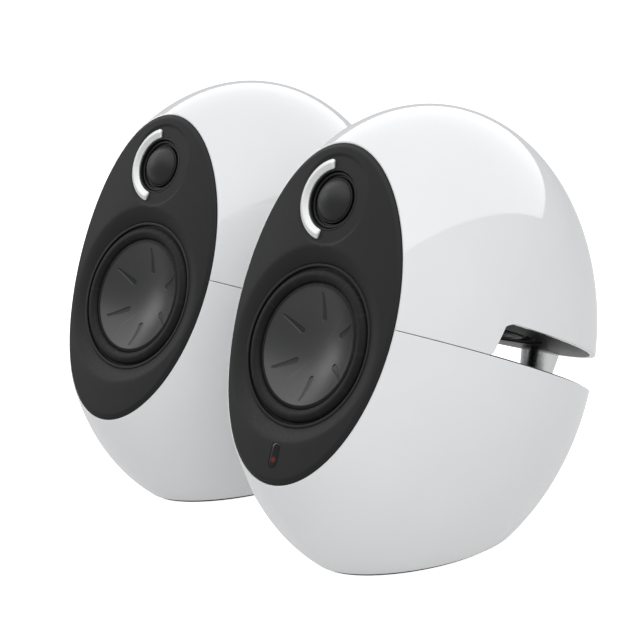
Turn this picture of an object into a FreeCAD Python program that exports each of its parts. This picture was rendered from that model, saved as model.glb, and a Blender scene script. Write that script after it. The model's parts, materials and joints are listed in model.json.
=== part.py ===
import FreeCAD, Part
import math
import os
import re
import Sketcher

os.makedirs("parts", exist_ok=True)

# A stereo pair of egg-shaped powered desktop speakers, in millimetres.
# Each speaker is laid out in its own leaning frame: X to the listener's right, Y away
# from the listener along the driver axis, Z up along the front panel, origin at the
# centre of the woofer. Placements then lean it back and stand it on the table.
SIZES = {
    # housing
    "shell_half_width": 70.5,
    "shell_half_depth": 108.5,
    "shell_half_height": 118.0,
    "shell_centre_back": 73.7,
    "shell_centre_up": 14.7,
    "shell_wall": 3.0,
    "lean_angle": 21.6,
    "seam_up": 13.5,
    "seam_gap": 0.3,
    "seam_lip": 3.0,
    "lip_wall": 1.65,
    "lip_front": 6.0,
    "lip_clear": 1.0,
    "base_drop": 112.0,
    "base_floor": 4.0,
    "fit_gap": 0.15,
    "overlap": 0.5,
    "past": 5.0,
    # front opening and front panel
    "front_ahead": 4.0,
    "front_radius": 320.0,
    "rim_lip": 0.9,
    "panel_proud": 1.6,
    "panel_seat": 2.5,
    "boss_back": 4.0,
    "boss_margin": 2.0,
    "boss_root": 2.0,
    "dish_margin": 1.0,
    "dish_ahead": 2.0,
    "dish_floor": 0.4,
    # slot between the upper and lower housings
    "notch_front": 49.6,
    "notch_height": 17.0,
    "notch_corner": 13.0,
    "deck_wall": 3.0,
    "deck_proud": 0.6,
    "pillar_back": 168.0,
    "pillar_top_radius": 9.8,
    "pillar_foot_radius": 8.0,
    # passive radiators
    "radiator_back": 105.0,
    "radiator_radius": 30.0,
    "radiator_hole": 37.0,
    "radiator_flange": 40.0,
    "radiator_roll": 3.2,
    "radiator_plate": 2.4,
    "radiator_mass": 3.0,
    "radiator_sunk": 1.0,
    # woofer
    "cone_radius": 29.0,
    "cone_depth": 9.5,
    "cone_wall": 0.9,
    "roll_radius": 3.3,
    "rubber_wall": 0.6,
    "bezel_inner": 37.7,
    "bezel_outer": 39.0,
    "bezel_front": 0.6,
    "ledge_width": 2.4,
    "ledge_front": 1.2,
    "ledge_back": 3.2,
    "edge_gap": 0.3,
    "flange_radius": 45.0,
    "flange_wall": 2.0,
    "screw_circle": 42.2,
    "screw_radius": 1.5,
    "screw_gap": 0.1,
    "screw_bite": 3.0,
    "screw_head": 1.6,
    "screw_head_margin": 1.3,
    "coil_inner": 12.2,
    "coil_outer": 13.0,
    "coil_gap": 0.4,
    "coil_front": 2.0,
    "coil_back": 1.0,
    "basket_depth": 21.5,
    "basket_wall": 2.0,
    "basket_flare": 17.0,
    "basket_neck": 12.0,
    "shelf_back": 8.0,
    "shelf_wall": 1.5,
    "shelf_outer": 15.2,
    "window_gap": 0.8,
    "window_stop": 10.0,
    "window_half": 10.0,
    "spider_width": 15.0,
    "spider_wall": 0.5,
    "magnet_inset": 2.5,
    "plate_wall": 4.0,
    "magnet_radius": 27.0,
    "magnet_length": 12.0,
    "yoke_radius": 25.0,
    # tweeter
    "tweeter_up": 68.7,
    "dome_radius": 10.9,
    "dome_rise": 6.5,
    "dome_wall": 0.4,
    "dome_ahead": 3.0,
    "tweeter_hole": 15.0,
    "tweeter_flange": 20.0,
    "tweeter_coil": 9.4,
    "tweeter_recess": 20.8,
    "recess_ahead": 4.9,
    "trim_radius": 17.35,
    "trim_half_width": 2.45,
    "trim_start": 102.0,
    "trim_sweep": 156.0,
    "groove_gap": 0.4,
    "groove_width": 1.1,
    "ridge_width": 1.0,
    "ridge_rise": 0.8,
    "tweeter_rim": 1.0,
    "tweeter_coil_wall": 0.6,
    "tweeter_coil_ahead": 4.0,
    "tweeter_coil_reach": 6.0,
    "tweeter_magnet_front": 1.0,
    "tweeter_magnet_back": 9.0,
    "tweeter_cup_wall": 3.0,
    "tweeter_cup_gap": 1.0,
    # foot
    "foot_height": 1.5,
    "foot_inset": 3.0,
    "foot_recess": 1.2,
    # infrared window
    "window_down": 53.0,
    "window_half_width": 2.7,
    "window_half_height": 6.0,
    "window_length": 3.5,
    "lamp_radius": 1.1,
    "lamp_length": 4.5,
    "lamp_down": 2.2,
    # electronics
    "board_width": 64.0,
    "board_depth": 90.0,
    "board_back": 69.4,
    "board_drop": 98.0,
    "board_wall": 1.6,
    "post_half": 3.0,
    "post_inset": 5.0,
    "post_sunk": 2.0,
    "solder": 0.2,
    "sink_length": 24.0,
    "sink_left": 26.0,
    "sink_base": 3.0,
    "sink_height": 16.0,
    "sink_pitch": 5.0,
    "sink_fin": 1.5,
    "capacitor_radius": 6.0,
    "capacitor_height": 20.0,
    "choke_radius": 11.0,
    "choke_left": 14.0,
    "choke_ahead": 15.0,
    "film_length": 18.0,
    "film_width": 9.0,
    "film_height": 12.0,
    # connector recess, on the back of each lower housing
    "recess_half_width": 22.0,
    "recess_drop": 88.0,
    "recess_height": 16.0,
    "recess_back": 145.0,
    "recess_reach": 60.0,
    "socket_radius": 4.5,
    "case_radius": 5.5,
    "case_length": 12.0,
    "barrel_length": 15.0,
    "collar_radius": 6.0,
    "collar_height": 1.5,
    "socket_proud": 2.0,
    "jack_bore": 1.8,
    "jack_pitch": 14.0,
    # the pair
    "pair_spacing": 162.8,
    "pair_stagger": 36.5,
}

doc = FreeCAD.newDocument("desktop_speakers")
sheet = doc.addObject("Spreadsheet::Sheet", "sizes")
for row, (word, number) in enumerate(SIZES.items(), start=1):
    sheet.set(f"A{row}", word)
    sheet.set(f"B{row}", str(number))
    sheet.setAlias(f"B{row}", word)
doc.recompute()

FAR = 400.0     # reaches past the whole speaker
parts = []      # every finished sub-part
X_AXIS = FreeCAD.Vector(1, 0, 0)


def cells(formula):
    """A formula written with plain size names, pointed at the sheet's cells."""
    return re.sub(r"[a-z_]+", lambda m: "sizes." + m[0] if m[0] in SIZES else m[0], formula)


def bind(thing, **formulas):
    for name, formula in formulas.items():
        thing.setExpression(name.replace("__", "."), cells(formula))
    return thing


def make(kind, name, x="0", y="0", z="0", **formulas):
    thing = doc.addObject(kind, name)
    bind(thing, **formulas)
    return bind(thing, Placement__Base__x=x, Placement__Base__y=y, Placement__Base__z=z)


def turn(thing, degrees):
    """Turn a primitive about X; the angle is a formula."""
    thing.Placement = FreeCAD.Placement(thing.Placement.Base, FreeCAD.Rotation(X_AXIS, 1))
    thing.setExpression("Placement.Rotation.Angle", cells(degrees))
    return thing


def fuse(name, *shapes):
    thing = doc.addObject("Part::MultiFuse", name)
    thing.Shapes = list(shapes)
    return thing


def common(name, *shapes):
    thing = doc.addObject("Part::MultiCommon", name)
    thing.Shapes = list(shapes)
    return thing


def cut(name, base, *tools):
    thing = doc.addObject("Part::Cut", name)
    thing.Base = base
    thing.Tool = tools[0] if len(tools) == 1 else fuse(name + "_tools", *tools)
    return thing


def box(name, x, y, z, length, width, height):
    return make("Part::Box", name, x, y, z, Length=length, Width=width, Height=height)


def rod(name, radius, front, length, x="0", z="0"):
    """A cylinder along Y, from its front end backwards."""
    return turn(make("Part::Cylinder", name, x, front, z, Radius=radius, Height=length), "-90")


def post(name, radius, x, y, z, height):
    """A cylinder along Z."""
    return make("Part::Cylinder", name, x, y, z, Radius=radius, Height=height)


def level_box(name, x, y, z, length, width, height):
    """A box that is level once the speaker leans back; x, y and z are level too."""
    across = f"({y}) * cos(lean_angle) - ({z}) * sin(lean_angle)"
    up = f"({y}) * sin(lean_angle) + ({z}) * cos(lean_angle)"
    return turn(box(name, x, across, up, length, width, height), "lean_angle")


def egg(name, inset="0"):
    """The housing's ellipsoid, shrunk all round by an inset."""
    return make(
        "Part::Ellipsoid", name, "0", "shell_centre_back", "shell_centre_up",
        Radius1=f"shell_half_height - ({inset})",
        Radius2=f"shell_half_width - ({inset})",
        Radius3=f"shell_half_depth - ({inset})",
    )


def front_drum(name, ahead):
    """The upright cylinder that the front opening follows, moved ahead or back."""
    radius = f"(front_radius + ({ahead}))"
    return post(name, radius, "0", "front_radius - front_ahead", str(-FAR / 2), str(FAR))


def origin_plane(body, role):
    return next(item for item in body.Origin.OriginFeatures if item.Role == role)


def outline(body, role, corners):
    """A closed polygon sketch whose corners are all placed by formulas."""
    sketch = body.newObject("Sketcher::SketchObject", body.Name + "_profile")
    sketch.AttachmentSupport = (origin_plane(body, role), "")
    sketch.MapMode = "FlatFace"
    count = len(corners)
    spots = [
        FreeCAD.Vector(9 * math.cos(math.tau * k / count), 9 * math.sin(math.tau * k / count))
        for k in range(count)
    ]
    for k in range(count):
        sketch.addGeometry(Part.LineSegment(spots[k], spots[(k + 1) % count]))
    for k in range(count):
        sketch.addConstraint(Sketcher.Constraint("Coincident", k, 2, (k + 1) % count, 1))
    for k, (across, along) in enumerate(corners):
        for kind, formula in (("DistanceX", across), ("DistanceY", along)):
            index = sketch.addConstraint(Sketcher.Constraint(kind, -1, 1, k, 1, 5.0))
            sketch.setExpression(f"Constraints[{index}]", cells(formula))
    return sketch


def turned(name, corners, role="XY_Plane"):
    """A body of revolution about Y (profile on XY_Plane) or about Z (on XZ_Plane)."""
    body = doc.addObject("PartDesign::Body", name)
    sketch = outline(body, role, corners)
    spin = body.newObject("PartDesign::Revolution", body.Name + "_spin")
    spin.Profile = sketch
    spin.ReferenceAxis = (sketch, ["V_Axis"])
    spin.Angle = 360
    sketch.Visibility = False
    return body


def ring(name, inner, outer, front, back):
    """A plain washer about Y."""
    return turned(name, [(inner, front), (outer, front), (outer, back), (inner, back)])


RIM_SHARE = "sqrt(1 - ((front_ahead + shell_centre_back) / shell_half_depth)^2)"
RIM_HEIGHT = f"shell_half_height * {RIM_SHARE}"
RIM_WIDTH = (
    f"{RIM_SHARE} / sqrt(1 / shell_half_width^2"
    " - (front_ahead + shell_centre_back) / (front_radius * shell_half_depth^2))"
)

# The pair's footprint is centred on the row's origin: its front is the lowest edge of
# the front panel and its back is the back of the egg.
PAIR_FRONT = (
    "((shell_centre_up - " + RIM_HEIGHT + " + rim_lip + fit_gap) * sin(lean_angle)"
    " - (front_ahead + panel_proud) * cos(lean_angle))"
)
PAIR_BACK = (
    "(shell_centre_up * sin(lean_angle) + shell_centre_back * cos(lean_angle)"
    " + sqrt((shell_half_height * sin(lean_angle))^2 + (shell_half_depth * cos(lean_angle))^2))"
)


def seat(thing, label, side, back="0", up="0", level=False):
    """Name a finished sub-part and stand it in its speaker."""
    sign = 1 if side == "right" else -1
    thing.Label = f"{side}_{label}"
    if not level:
        turn(thing, "-lean_angle")
    slide = f"({up}) * sin(lean_angle) + ({back}) * cos(lean_angle)"
    rise = f"({up}) * cos(lean_angle) - ({back}) * sin(lean_angle)"
    bind(
        thing,
        Placement__Base__x=f"{sign} * pair_spacing / 2",
        Placement__Base__y=f"{slide} - {sign} * pair_stagger / 2 - ({PAIR_FRONT} + {PAIR_BACK}) / 2",
        Placement__Base__z=f"base_drop + foot_height + {rise}",
    )
    parts.append(thing)
    return thing


# ---- housing ------------------------------------------------------------------------

def oval(name, inset, front, length):
    """An elliptic block along Y with the outline of the front opening, less an inset."""
    edge = doc.addObject("Part::Ellipse", name + "_edge")
    bind(edge, MajorRadius=f"{RIM_HEIGHT} - ({inset})", MinorRadius=f"{RIM_WIDTH} - ({inset})")
    up_then_front = FreeCAD.Rotation(FreeCAD.Vector(0, 0, 1), FreeCAD.Vector(-1, 0, 0),
                                     FreeCAD.Vector(0, -1, 0), "XYZ")
    edge.Placement = FreeCAD.Placement(FreeCAD.Vector(), up_then_front)
    bind(edge, Placement__Base__y=front, Placement__Base__z="shell_centre_up")
    block = doc.addObject("Part::Extrusion", name)
    block.Base = edge
    block.DirMode = "Custom"
    block.Dir = FreeCAD.Vector(0, 1, 0)
    block.Solid = True
    bind(block, LengthFwd=length)
    return block


def notch(name, grow="0"):
    """The slot's own space: open at the back, rounded where its front meets its ceiling."""
    front = f"notch_front - ({grow})"
    top = f"seam_up + notch_height + ({grow})"
    corner = f"(notch_corner + ({grow}))"
    left = str(-FAR / 2)
    low = box(name + "_low", left, front, "seam_up", str(FAR), str(FAR), f"{top} - seam_up - {corner}")
    high = box(name + "_high", left, f"{front} + {corner}", "seam_up",
               str(FAR), str(FAR), f"{top} - seam_up")
    curve = make("Part::Cylinder", name + "_curve", left, f"{front} + {corner}", f"{top} - {corner}",
                 Radius=corner, Height=str(FAR))
    curve.Placement = FreeCAD.Placement(
        curve.Placement.Base, FreeCAD.Rotation(FreeCAD.Vector(0, 1, 0), 90))
    bind(curve, Placement__Base__x=left, Placement__Base__y=f"{front} + {corner}",
         Placement__Base__z=f"{top} - {corner}")
    return fuse(name, low, high, curve)


def above(name, height):
    """Everything over a height of the leaning frame."""
    return box(name, str(-FAR / 2), str(-FAR / 2), height, str(FAR), str(FAR), str(FAR))


def below(name, height):
    return box(name, str(-FAR / 2), str(-FAR / 2), f"{height} - {FAR}", str(FAR), str(FAR), str(FAR))


def over_table(name, height):
    """Everything over a level plane, given as its drop under the woofer's centre."""
    return level_box(name, str(-FAR / 2), str(-FAR / 2), f"-({height})", str(FAR), str(FAR), str(FAR))


def housing(name):
    """The whole egg, hollow, open at the front and cut flat underneath."""
    outer = common(name + "_outer", egg(name + "_skin"), front_drum(name + "_front", "0"),
                   over_table(name + "_base", "base_drop"))
    inner = common(name + "_inner", egg(name + "_hollow", "shell_wall"),
                   over_table(name + "_floor", "base_drop - base_floor"))
    rebate = cut(name + "_rebate", oval(name + "_oval", "rim_lip", "-front_ahead - 20", "60"),
                 front_drum(name + "_shoulder", "-panel_seat"))
    return cut(name, outer, inner, rebate)


# The flat underside of the egg is an ellipse, worked out from the tilted ellipsoid.
CENTRE_DROP = "(base_drop + shell_centre_up * cos(lean_angle) - shell_centre_back * sin(lean_angle))"
TALL = "((shell_half_depth * sin(lean_angle))^2 + (shell_half_height * cos(lean_angle))^2)"
LONG = "((shell_half_height * sin(lean_angle))^2 + (shell_half_depth * cos(lean_angle))^2)"
SKEW = "((shell_half_height^2 - shell_half_depth^2) * sin(lean_angle) * cos(lean_angle))"
BASE_SHARE = f"sqrt(1 - {CENTRE_DROP}^2 / {TALL})"


def foot_oval(name, inset, low, height):
    """A level block with the underside's outline, less an inset."""
    edge = doc.addObject("Part::Ellipse", name + "_edge")
    edge.Placement = FreeCAD.Placement(
        FreeCAD.Vector(), FreeCAD.Rotation(FreeCAD.Vector(0, 0, 1), 90))
    centre = (f"shell_centre_up * sin(lean_angle) + shell_centre_back * cos(lean_angle)"
              f" - {CENTRE_DROP} * {SKEW} / {TALL}")
    bind(edge, MajorRadius=f"sqrt({LONG} - {SKEW}^2 / {TALL}) * {BASE_SHARE} - ({inset})",
         MinorRadius=f"shell_half_width * {BASE_SHARE} - ({inset})",
         Placement__Base__y=centre, Placement__Base__z=low)
    block = doc.addObject("Part::Extrusion", name)
    block.Base = edge
    block.DirMode = "Normal"
    block.Solid = True
    bind(block, LengthFwd=height)
    return block


def upper_shell(side):
    solid = common("upper_half", housing("upper_egg"), above("over_seam", "seam_up + seam_gap / 2"))
    seat(cut("upper_shell", solid, notch("upper_notch")), "upper_shell", side)


def lower_shell(side):
    solid = common("lower_half", housing("lower_egg"), below("under_seam", "seam_up - seam_gap / 2"))
    lip_up = cut("lip_up", egg("lip_outside", "shell_wall + fit_gap"),
                 egg("lip_inside", "shell_wall + fit_gap + lip_wall"))
    lip_root = cut("lip_root", egg("root_outside", "shell_wall - overlap"),
                   egg("root_inside", "shell_wall + fit_gap + lip_wall"))
    ahead = box("lip_reach", str(-FAR / 2), "lip_front", "seam_up - seam_lip", str(FAR),
                "notch_front - deck_wall - lip_front - lip_clear", "2 * seam_lip")
    lip = fuse("lip", common("lip_high", lip_up, above("lip_over", "seam_up - seam_gap / 2"), ahead),
               common("lip_low", lip_root, below("lip_under", "seam_up - seam_gap / 2"), ahead))
    block = common(
        "recess_block", egg("recess_skin", "shell_wall / 2"),
        level_box("recess_outside", "-recess_half_width - shell_wall", "recess_back - shell_wall",
                  "-recess_drop - shell_wall", "2 * (recess_half_width + shell_wall)", "recess_reach",
                  "recess_height + 2 * shell_wall"))
    pocket = level_box("recess_pocket", "-recess_half_width", "recess_back", "-recess_drop",
                       "2 * recess_half_width", "recess_reach", "recess_height")
    posts = []
    for x in (-1, 1):
        for y in (-1, 1):
            posts.append(level_box(
                "board_post", f"{x} * (board_width / 2 - post_inset) - post_half",
                f"board_back + {y} * (board_depth / 2 - post_inset) - post_half",
                "-base_drop + post_sunk", "2 * post_half", "2 * post_half",
                "base_drop - board_drop - post_sunk"))
    pad_pocket = turn(foot_oval("pad_pocket", "foot_inset - fit_gap", "-base_drop - past",
                                "past + foot_recess"), "lean_angle")
    holes = [socket_hole(x) for x in socket_places(side)]
    body = fuse("lower_body", solid, lip, block, *posts)
    seat(cut("lower_shell", body, pocket, pad_pocket, *holes), "lower_shell", side)


def foot_pad(side):
    seat(foot_oval("foot_pad", "foot_inset", "-base_drop - foot_height", "foot_height + foot_recess"),
         "foot_pad", side, level=True)


# ---- connectors ---------------------------------------------------------------------


def socket_places(side):
    """Sockets across the recess, as multiples of their pitch."""
    return (-1, 0, 1) if side == "right" else (0,)


def level_rod(name, radius, x, front, length, drop="recess_drop - recess_height / 2"):
    thing = rod(name, radius, f"({front}) * cos(lean_angle) + ({drop}) * sin(lean_angle)", length,
                x, f"({front}) * sin(lean_angle) - ({drop}) * cos(lean_angle)")
    return turn(thing, "lean_angle - 90")


def socket_hole(place):
    return level_rod("socket_hole", "socket_radius + fit_gap", f"{place} * jack_pitch",
                     "recess_back - shell_wall - socket_proud", "shell_wall + 2 * socket_proud")


def socket(side, label, place, bore, reach):
    """A round panel socket: a barrel through the wall, a collar outside, a body inside."""
    across = f"{place} * jack_pitch"
    outer = level_rod("socket_barrel", "socket_radius", across,
                      "recess_back + socket_proud - barrel_length", "barrel_length")
    collar = level_rod("socket_collar", "collar_radius", across, "recess_back", "collar_height")
    case = level_rod("socket_case", "case_radius", across,
                     "recess_back - shell_wall - case_length", "case_length")
    hole = level_rod("socket_bore", bore, across,
                     f"recess_back + socket_proud - {reach}", f"{reach} + past")
    seat(cut("socket", fuse("socket_solid", outer, collar, case), hole), label, side)


# ---- front panel --------------------------------------------------------------------


def screw_ring(name, radius, front, length):
    """Four short rods, evenly round the woofer."""
    rods = []
    for k in range(4):
        angle = f"(45 + 90 * {k})"
        rods.append(rod(name, radius, front, length,
                        f"screw_circle * cos{angle}", f"screw_circle * sin{angle}"))
    return fuse(name + "_set", *rods)


def pill(name, shrink, front, length):
    """An upright slot shape with round ends, along Y."""
    width = f"(window_half_width - ({shrink}))"
    straight = f"(window_half_height - window_half_width)"
    middle = box(name + "_middle", f"-{width}", front, f"-window_down - {straight}",
                 f"2 * {width}", length, f"2 * {straight}")
    ends = [rod(name + "_end", width, front, length, "0", f"-window_down + {sign} * {straight}")
            for sign in (-1, 1)]
    return fuse(name, middle, *ends)


def front_panel(side):
    plate = cut("panel_plate", oval("panel_oval", "rim_lip + fit_gap", "-20", "60"),
                front_drum("panel_back", "-panel_seat"))
    face = front_drum("panel_face", "panel_proud")
    plate = common("panel_curved", plate, face)
    woofer_boss = rod("woofer_boss", "flange_radius + boss_margin", "-boss_root",
                      "boss_back + boss_root")
    tweeter_boss = rod("tweeter_boss", "tweeter_flange + boss_margin", "-boss_root",
                       "boss_back + boss_root", "0", "tweeter_up")
    bosses = common("panel_bosses", fuse("bosses", woofer_boss, tweeter_boss),
                    egg("boss_limit", "shell_wall + overlap"))
    cone_cut = turn(make("Part::Cone", "woofer_dish", "0", "-front_ahead - panel_proud - dish_ahead",
                         "0", Radius1="flange_radius + dish_margin", Radius2="bezel_outer + fit_gap",
                         Height="front_ahead + panel_proud + dish_ahead - dish_floor"), "-90")
    recess = rod("tweeter_seat", "tweeter_recess", "-recess_ahead - 20", "20", "0", "tweeter_up")
    holes = [
        rod("woofer_hole", "bezel_outer + fit_gap", "-20", "40"),
        rod("tweeter_opening", "tweeter_hole", "-20", "40", "0", "tweeter_up"),
        screw_ring("screw_pilot", "screw_radius + screw_gap", "boss_back - screw_bite - overlap",
                   "screw_bite + overlap + past"),
    ]
    if side == "right":
        holes.append(pill("window_slot", "-fit_gap", "-20", "40"))
    seat(cut("front_panel", fuse("panel_solid", plate, bosses), cone_cut, recess, *holes),
         "front_panel", side)


# ---- woofer -------------------------------------------------------------------------

BOWL = "((cone_radius^2 + cone_depth^2) / (2 * cone_depth))"
PLATE_FRONT = "basket_depth"
MAGNET_FRONT = f"({PLATE_FRONT} + plate_wall)"
YOKE_FRONT = f"({MAGNET_FRONT} + magnet_length)"


def ball(name, radius, centre, up="0"):
    return make("Part::Sphere", name, "0", centre, up, Radius=radius)


def woofer_basket(side):
    ledge = "bezel_inner - ledge_width"
    flange_back = "boss_back + flange_wall"
    shelf = "basket_depth - shelf_back"
    shelf_edge = "coil_outer + shelf_outer"
    frame = turned("basket_frame", [
        (ledge, "ledge_front"),
        ("bezel_inner", "ledge_front"),
        ("bezel_inner", "-bezel_front"),
        ("bezel_outer", "-bezel_front"),
        ("bezel_outer", "boss_back"),
        ("flange_radius", "boss_back"),
        ("flange_radius", flange_back),
        ("bezel_outer - lip_clear", flange_back),
        ("coil_outer + basket_flare", shelf),
        ("coil_outer + basket_neck", "basket_depth"),
        ("coil_outer + basket_wall", "basket_depth"),
        ("coil_outer + basket_wall", "basket_depth - basket_wall"),
        ("coil_outer + basket_neck - shelf_wall", "basket_depth - basket_wall"),
        ("coil_outer + basket_neck", shelf),
        (shelf_edge, shelf),
        (shelf_edge, f"{shelf} - shelf_wall"),
        (ledge, "ledge_back"),
    ])
    front = f"{flange_back} + window_gap"
    deep = f"basket_depth - ({flange_back}) - window_gap - window_stop"
    wide, half = "2 * flange_radius", "window_half"
    windows = [
        box("basket_window", "-flange_radius", front, f"-{half}", wide, deep, f"2 * {half}"),
        box("basket_window", f"-{half}", front, "-flange_radius", f"2 * {half}", deep, wide),
    ]
    holes = screw_ring("flange_hole", "screw_radius + screw_gap", "boss_back - overlap",
                       "flange_wall + past")
    seat(cut("woofer_basket", frame, holes, *windows), "woofer_basket", side)


def woofer_screws(side):
    shanks = screw_ring("screw_shank", "screw_radius", "boss_back - screw_bite",
                        "flange_wall + screw_bite")
    heads = screw_ring("screw_head", "screw_radius + screw_head_margin", "boss_back + flange_wall",
                       "screw_head")
    seat(fuse("woofer_screws", shanks, heads), "woofer_screws", side)


def ahead_of(name):
    """Everything ahead of Y = 0."""
    return box(name, str(-FAR / 2), str(-FAR), str(-FAR / 2), str(FAR), str(FAR), str(FAR))


def half_roll(name, middle, roll, inner, outer):
    """A rubber ring: a half-round roll between two flat edges. Its base is at Y = 0,
    the roll rises towards -Y."""
    tube = []
    for grow in ("0", "-rubber_wall"):
        tube.append(turn(make("Part::Torus", name + "_tube", Radius1=middle,
                              Radius2=f"{roll} + ({grow})"), "90"))
    front = ahead_of(name + "_front")
    roll_shell = common(name + "_roll", cut(name + "_shell", *tube), front)
    inner_edge = ring(name + "_inner", inner, f"{middle} - {roll} + rubber_wall", "-rubber_wall", "0")
    outer_edge = ring(name + "_outer", f"{middle} + {roll} - rubber_wall", outer, "-rubber_wall", "0")
    return fuse(name, roll_shell, inner_edge, outer_edge)


def woofer_surround(side):
    middle = "((cone_radius + edge_gap + bezel_inner - fit_gap) / 2)"
    seat(half_roll("woofer_surround", middle, "roll_radius", "cone_radius + edge_gap",
                   "bezel_inner - fit_gap"), "woofer_surround", side, back="ledge_front")


def woofer_cone(side):
    shell = cut("cone_shell", ball("cone_back", f"{BOWL} + cone_wall", f"cone_depth - {BOWL}"),
                ball("cone_face", BOWL, f"cone_depth - {BOWL}"))
    seat(common("woofer_cone", shell, rod("cone_reach", "cone_radius", "0", "basket_depth")),
         "woofer_cone", side)


def woofer_coil(side):
    tube = ring("coil_tube", "coil_inner", "coil_outer", "coil_front",
                "basket_depth + plate_wall + coil_back")
    seat(cut("woofer_coil", tube, ball("coil_cope", f"{BOWL} + cone_wall", f"cone_depth - {BOWL}")),
         "woofer_coil", side)


def woofer_spider(side):
    back = "basket_depth - shelf_back"
    seat(ring("woofer_spider", "coil_outer + edge_gap", "coil_outer + spider_width",
              f"{back} - spider_wall", back), "woofer_spider", side)


def woofer_motor(side):
    seat(ring("woofer_top_plate", "coil_outer + coil_gap", "yoke_radius", PLATE_FRONT, MAGNET_FRONT),
         "woofer_top_plate", side)
    seat(ring("woofer_magnet", "coil_outer + magnet_inset", "magnet_radius", MAGNET_FRONT, YOKE_FRONT),
         "woofer_magnet", side)
    seat(turned("woofer_yoke", [
        ("0", f"{PLATE_FRONT} - overlap"),
        ("coil_inner - coil_gap", f"{PLATE_FRONT} - overlap"),
        ("coil_inner - coil_gap", YOKE_FRONT),
        ("yoke_radius", YOKE_FRONT),
        ("yoke_radius", f"{YOKE_FRONT} + plate_wall"),
        ("0", f"{YOKE_FRONT} + plate_wall"),
    ]), "woofer_yoke", side)


# ---- tweeter ------------------------------------------------------------------------

DOME_BALL = "((dome_radius^2 + dome_rise^2) / (2 * dome_rise))"
DOME_CENTRE = f"(-dome_ahead - dome_rise + {DOME_BALL})"


def tweeter(side):
    groove = "dome_radius + groove_gap"
    inside = "dome_radius + groove_gap + groove_width"
    outside = "dome_radius + groove_gap + groove_width + ridge_width"
    rim = "tweeter_hole - tweeter_rim"
    body = "tweeter_hole - fit_gap"
    flange_back = "boss_back + flange_wall"
    cup = "tweeter_coil + tweeter_cup_gap"
    seat(turned("tweeter_faceplate", [
        (groove, "groove_gap - dome_ahead"),
        (inside, "groove_gap - dome_ahead"),
        (inside, "-dome_ahead - ridge_rise"),
        (outside, "-dome_ahead - ridge_rise"),
        (outside, "-dome_ahead"),
        (rim, "-dome_ahead"),
        (rim, "-recess_ahead"),
        (body, "-recess_ahead"),
        (body, "boss_back"),
        ("tweeter_flange", "boss_back"),
        ("tweeter_flange", flange_back),
        (cup, flange_back),
        (cup, "boss_back"),
        (groove, "boss_back - tweeter_rim"),
    ]), "tweeter_faceplate", side, up="tweeter_up")
    dome = cut("dome_shell", ball("dome_face", DOME_BALL, DOME_CENTRE),
               ball("dome_back", f"{DOME_BALL} - dome_wall", DOME_CENTRE))
    reach = rod("dome_reach", "dome_radius", "-dome_ahead - dome_radius", "dome_radius")
    seat(common("tweeter_dome", dome, reach), "tweeter_dome", side, up="tweeter_up")
    coil = ring("tweeter_coil_tube", "tweeter_coil", "tweeter_coil + tweeter_coil_wall",
                "-dome_ahead - tweeter_coil_ahead", "boss_back + tweeter_coil_reach")
    seat(common("tweeter_coil", coil, ball("coil_limit", f"{DOME_BALL} - dome_wall", DOME_CENTRE)),
         "tweeter_coil", side, up="tweeter_up")
    back = "boss_back + tweeter_magnet_back"
    seat(ring("tweeter_magnet", "0", "tweeter_coil - coil_gap", "boss_back + tweeter_magnet_front",
              back), "tweeter_magnet", side, up="tweeter_up")
    seat(turned("tweeter_cup", [
        ("0", back),
        (cup, back),
        (cup, flange_back),
        (f"{cup} + tweeter_cup_wall", flange_back),
        (f"{cup} + tweeter_cup_wall", f"{back} + tweeter_cup_wall"),
        ("0", f"{back} + tweeter_cup_wall"),
    ]), "tweeter_cup", side, up="tweeter_up")


def tweeter_trim(side):
    """The bright crescent beside the tweeter, on the listener's left."""
    arc = make("Part::Torus", "trim_arc", Radius1="trim_radius", Radius2="trim_half_width",
               Angle3="trim_sweep")
    upright = FreeCAD.Rotation(X_AXIS, 90)
    start = FreeCAD.Rotation(FreeCAD.Vector(0, 1, 0), -sheet.trim_start)
    arc.Placement = FreeCAD.Placement(FreeCAD.Vector(), start * upright)
    tips = []
    for angle in ("trim_start", "(trim_start + trim_sweep)"):
        tips.append(make("Part::Sphere", "trim_tip", f"trim_radius * cos({angle})", "0",
                         f"trim_radius * sin({angle})", Radius="trim_half_width"))
    front = ahead_of("trim_front")
    raised = common("trim_raised", fuse("trim_bar", arc, *tips), front)
    seat(raised, "tweeter_trim", side, back="-recess_ahead", up="tweeter_up")


# ---- slot between the housings ------------------------------------------------------


def radiator_opening(name, rebate_from, rebate_height):
    hole = post(name + "_hole", "radiator_hole", "0", "radiator_back", "seam_up - notch_height",
                "3 * notch_height")
    rebate = post(name + "_rebate", "radiator_flange + fit_gap", "0", "radiator_back",
                  rebate_from, rebate_height)
    return hole, rebate


CEILING = "(seam_up + notch_height)"
FLOOR = "(seam_up + deck_proud)"


def decks(side):
    limit = "shell_wall + fit_gap"
    skin = cut("ceiling_skin", notch("deck_outside", "deck_wall"), notch("deck_inside"))
    upper = common("ceiling_solid", skin, egg("ceiling_limit", limit), above("ceiling_over", FLOOR))
    openings = radiator_opening("ceiling", f"{CEILING} - past", "past + radiator_sunk")
    seat(cut("upper_deck", upper, *openings), "upper_deck", side)
    slab = box("floor_slab", str(-FAR / 2), "notch_front - deck_wall", "seam_up - deck_wall",
               str(FAR), str(FAR), "deck_wall + deck_proud")
    lower = common("floor_solid", slab, egg("floor_limit", limit))
    openings = radiator_opening("floor", f"{FLOOR} - radiator_sunk", "radiator_sunk + past")
    seat(cut("lower_deck", lower, *openings), "lower_deck", side)


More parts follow.
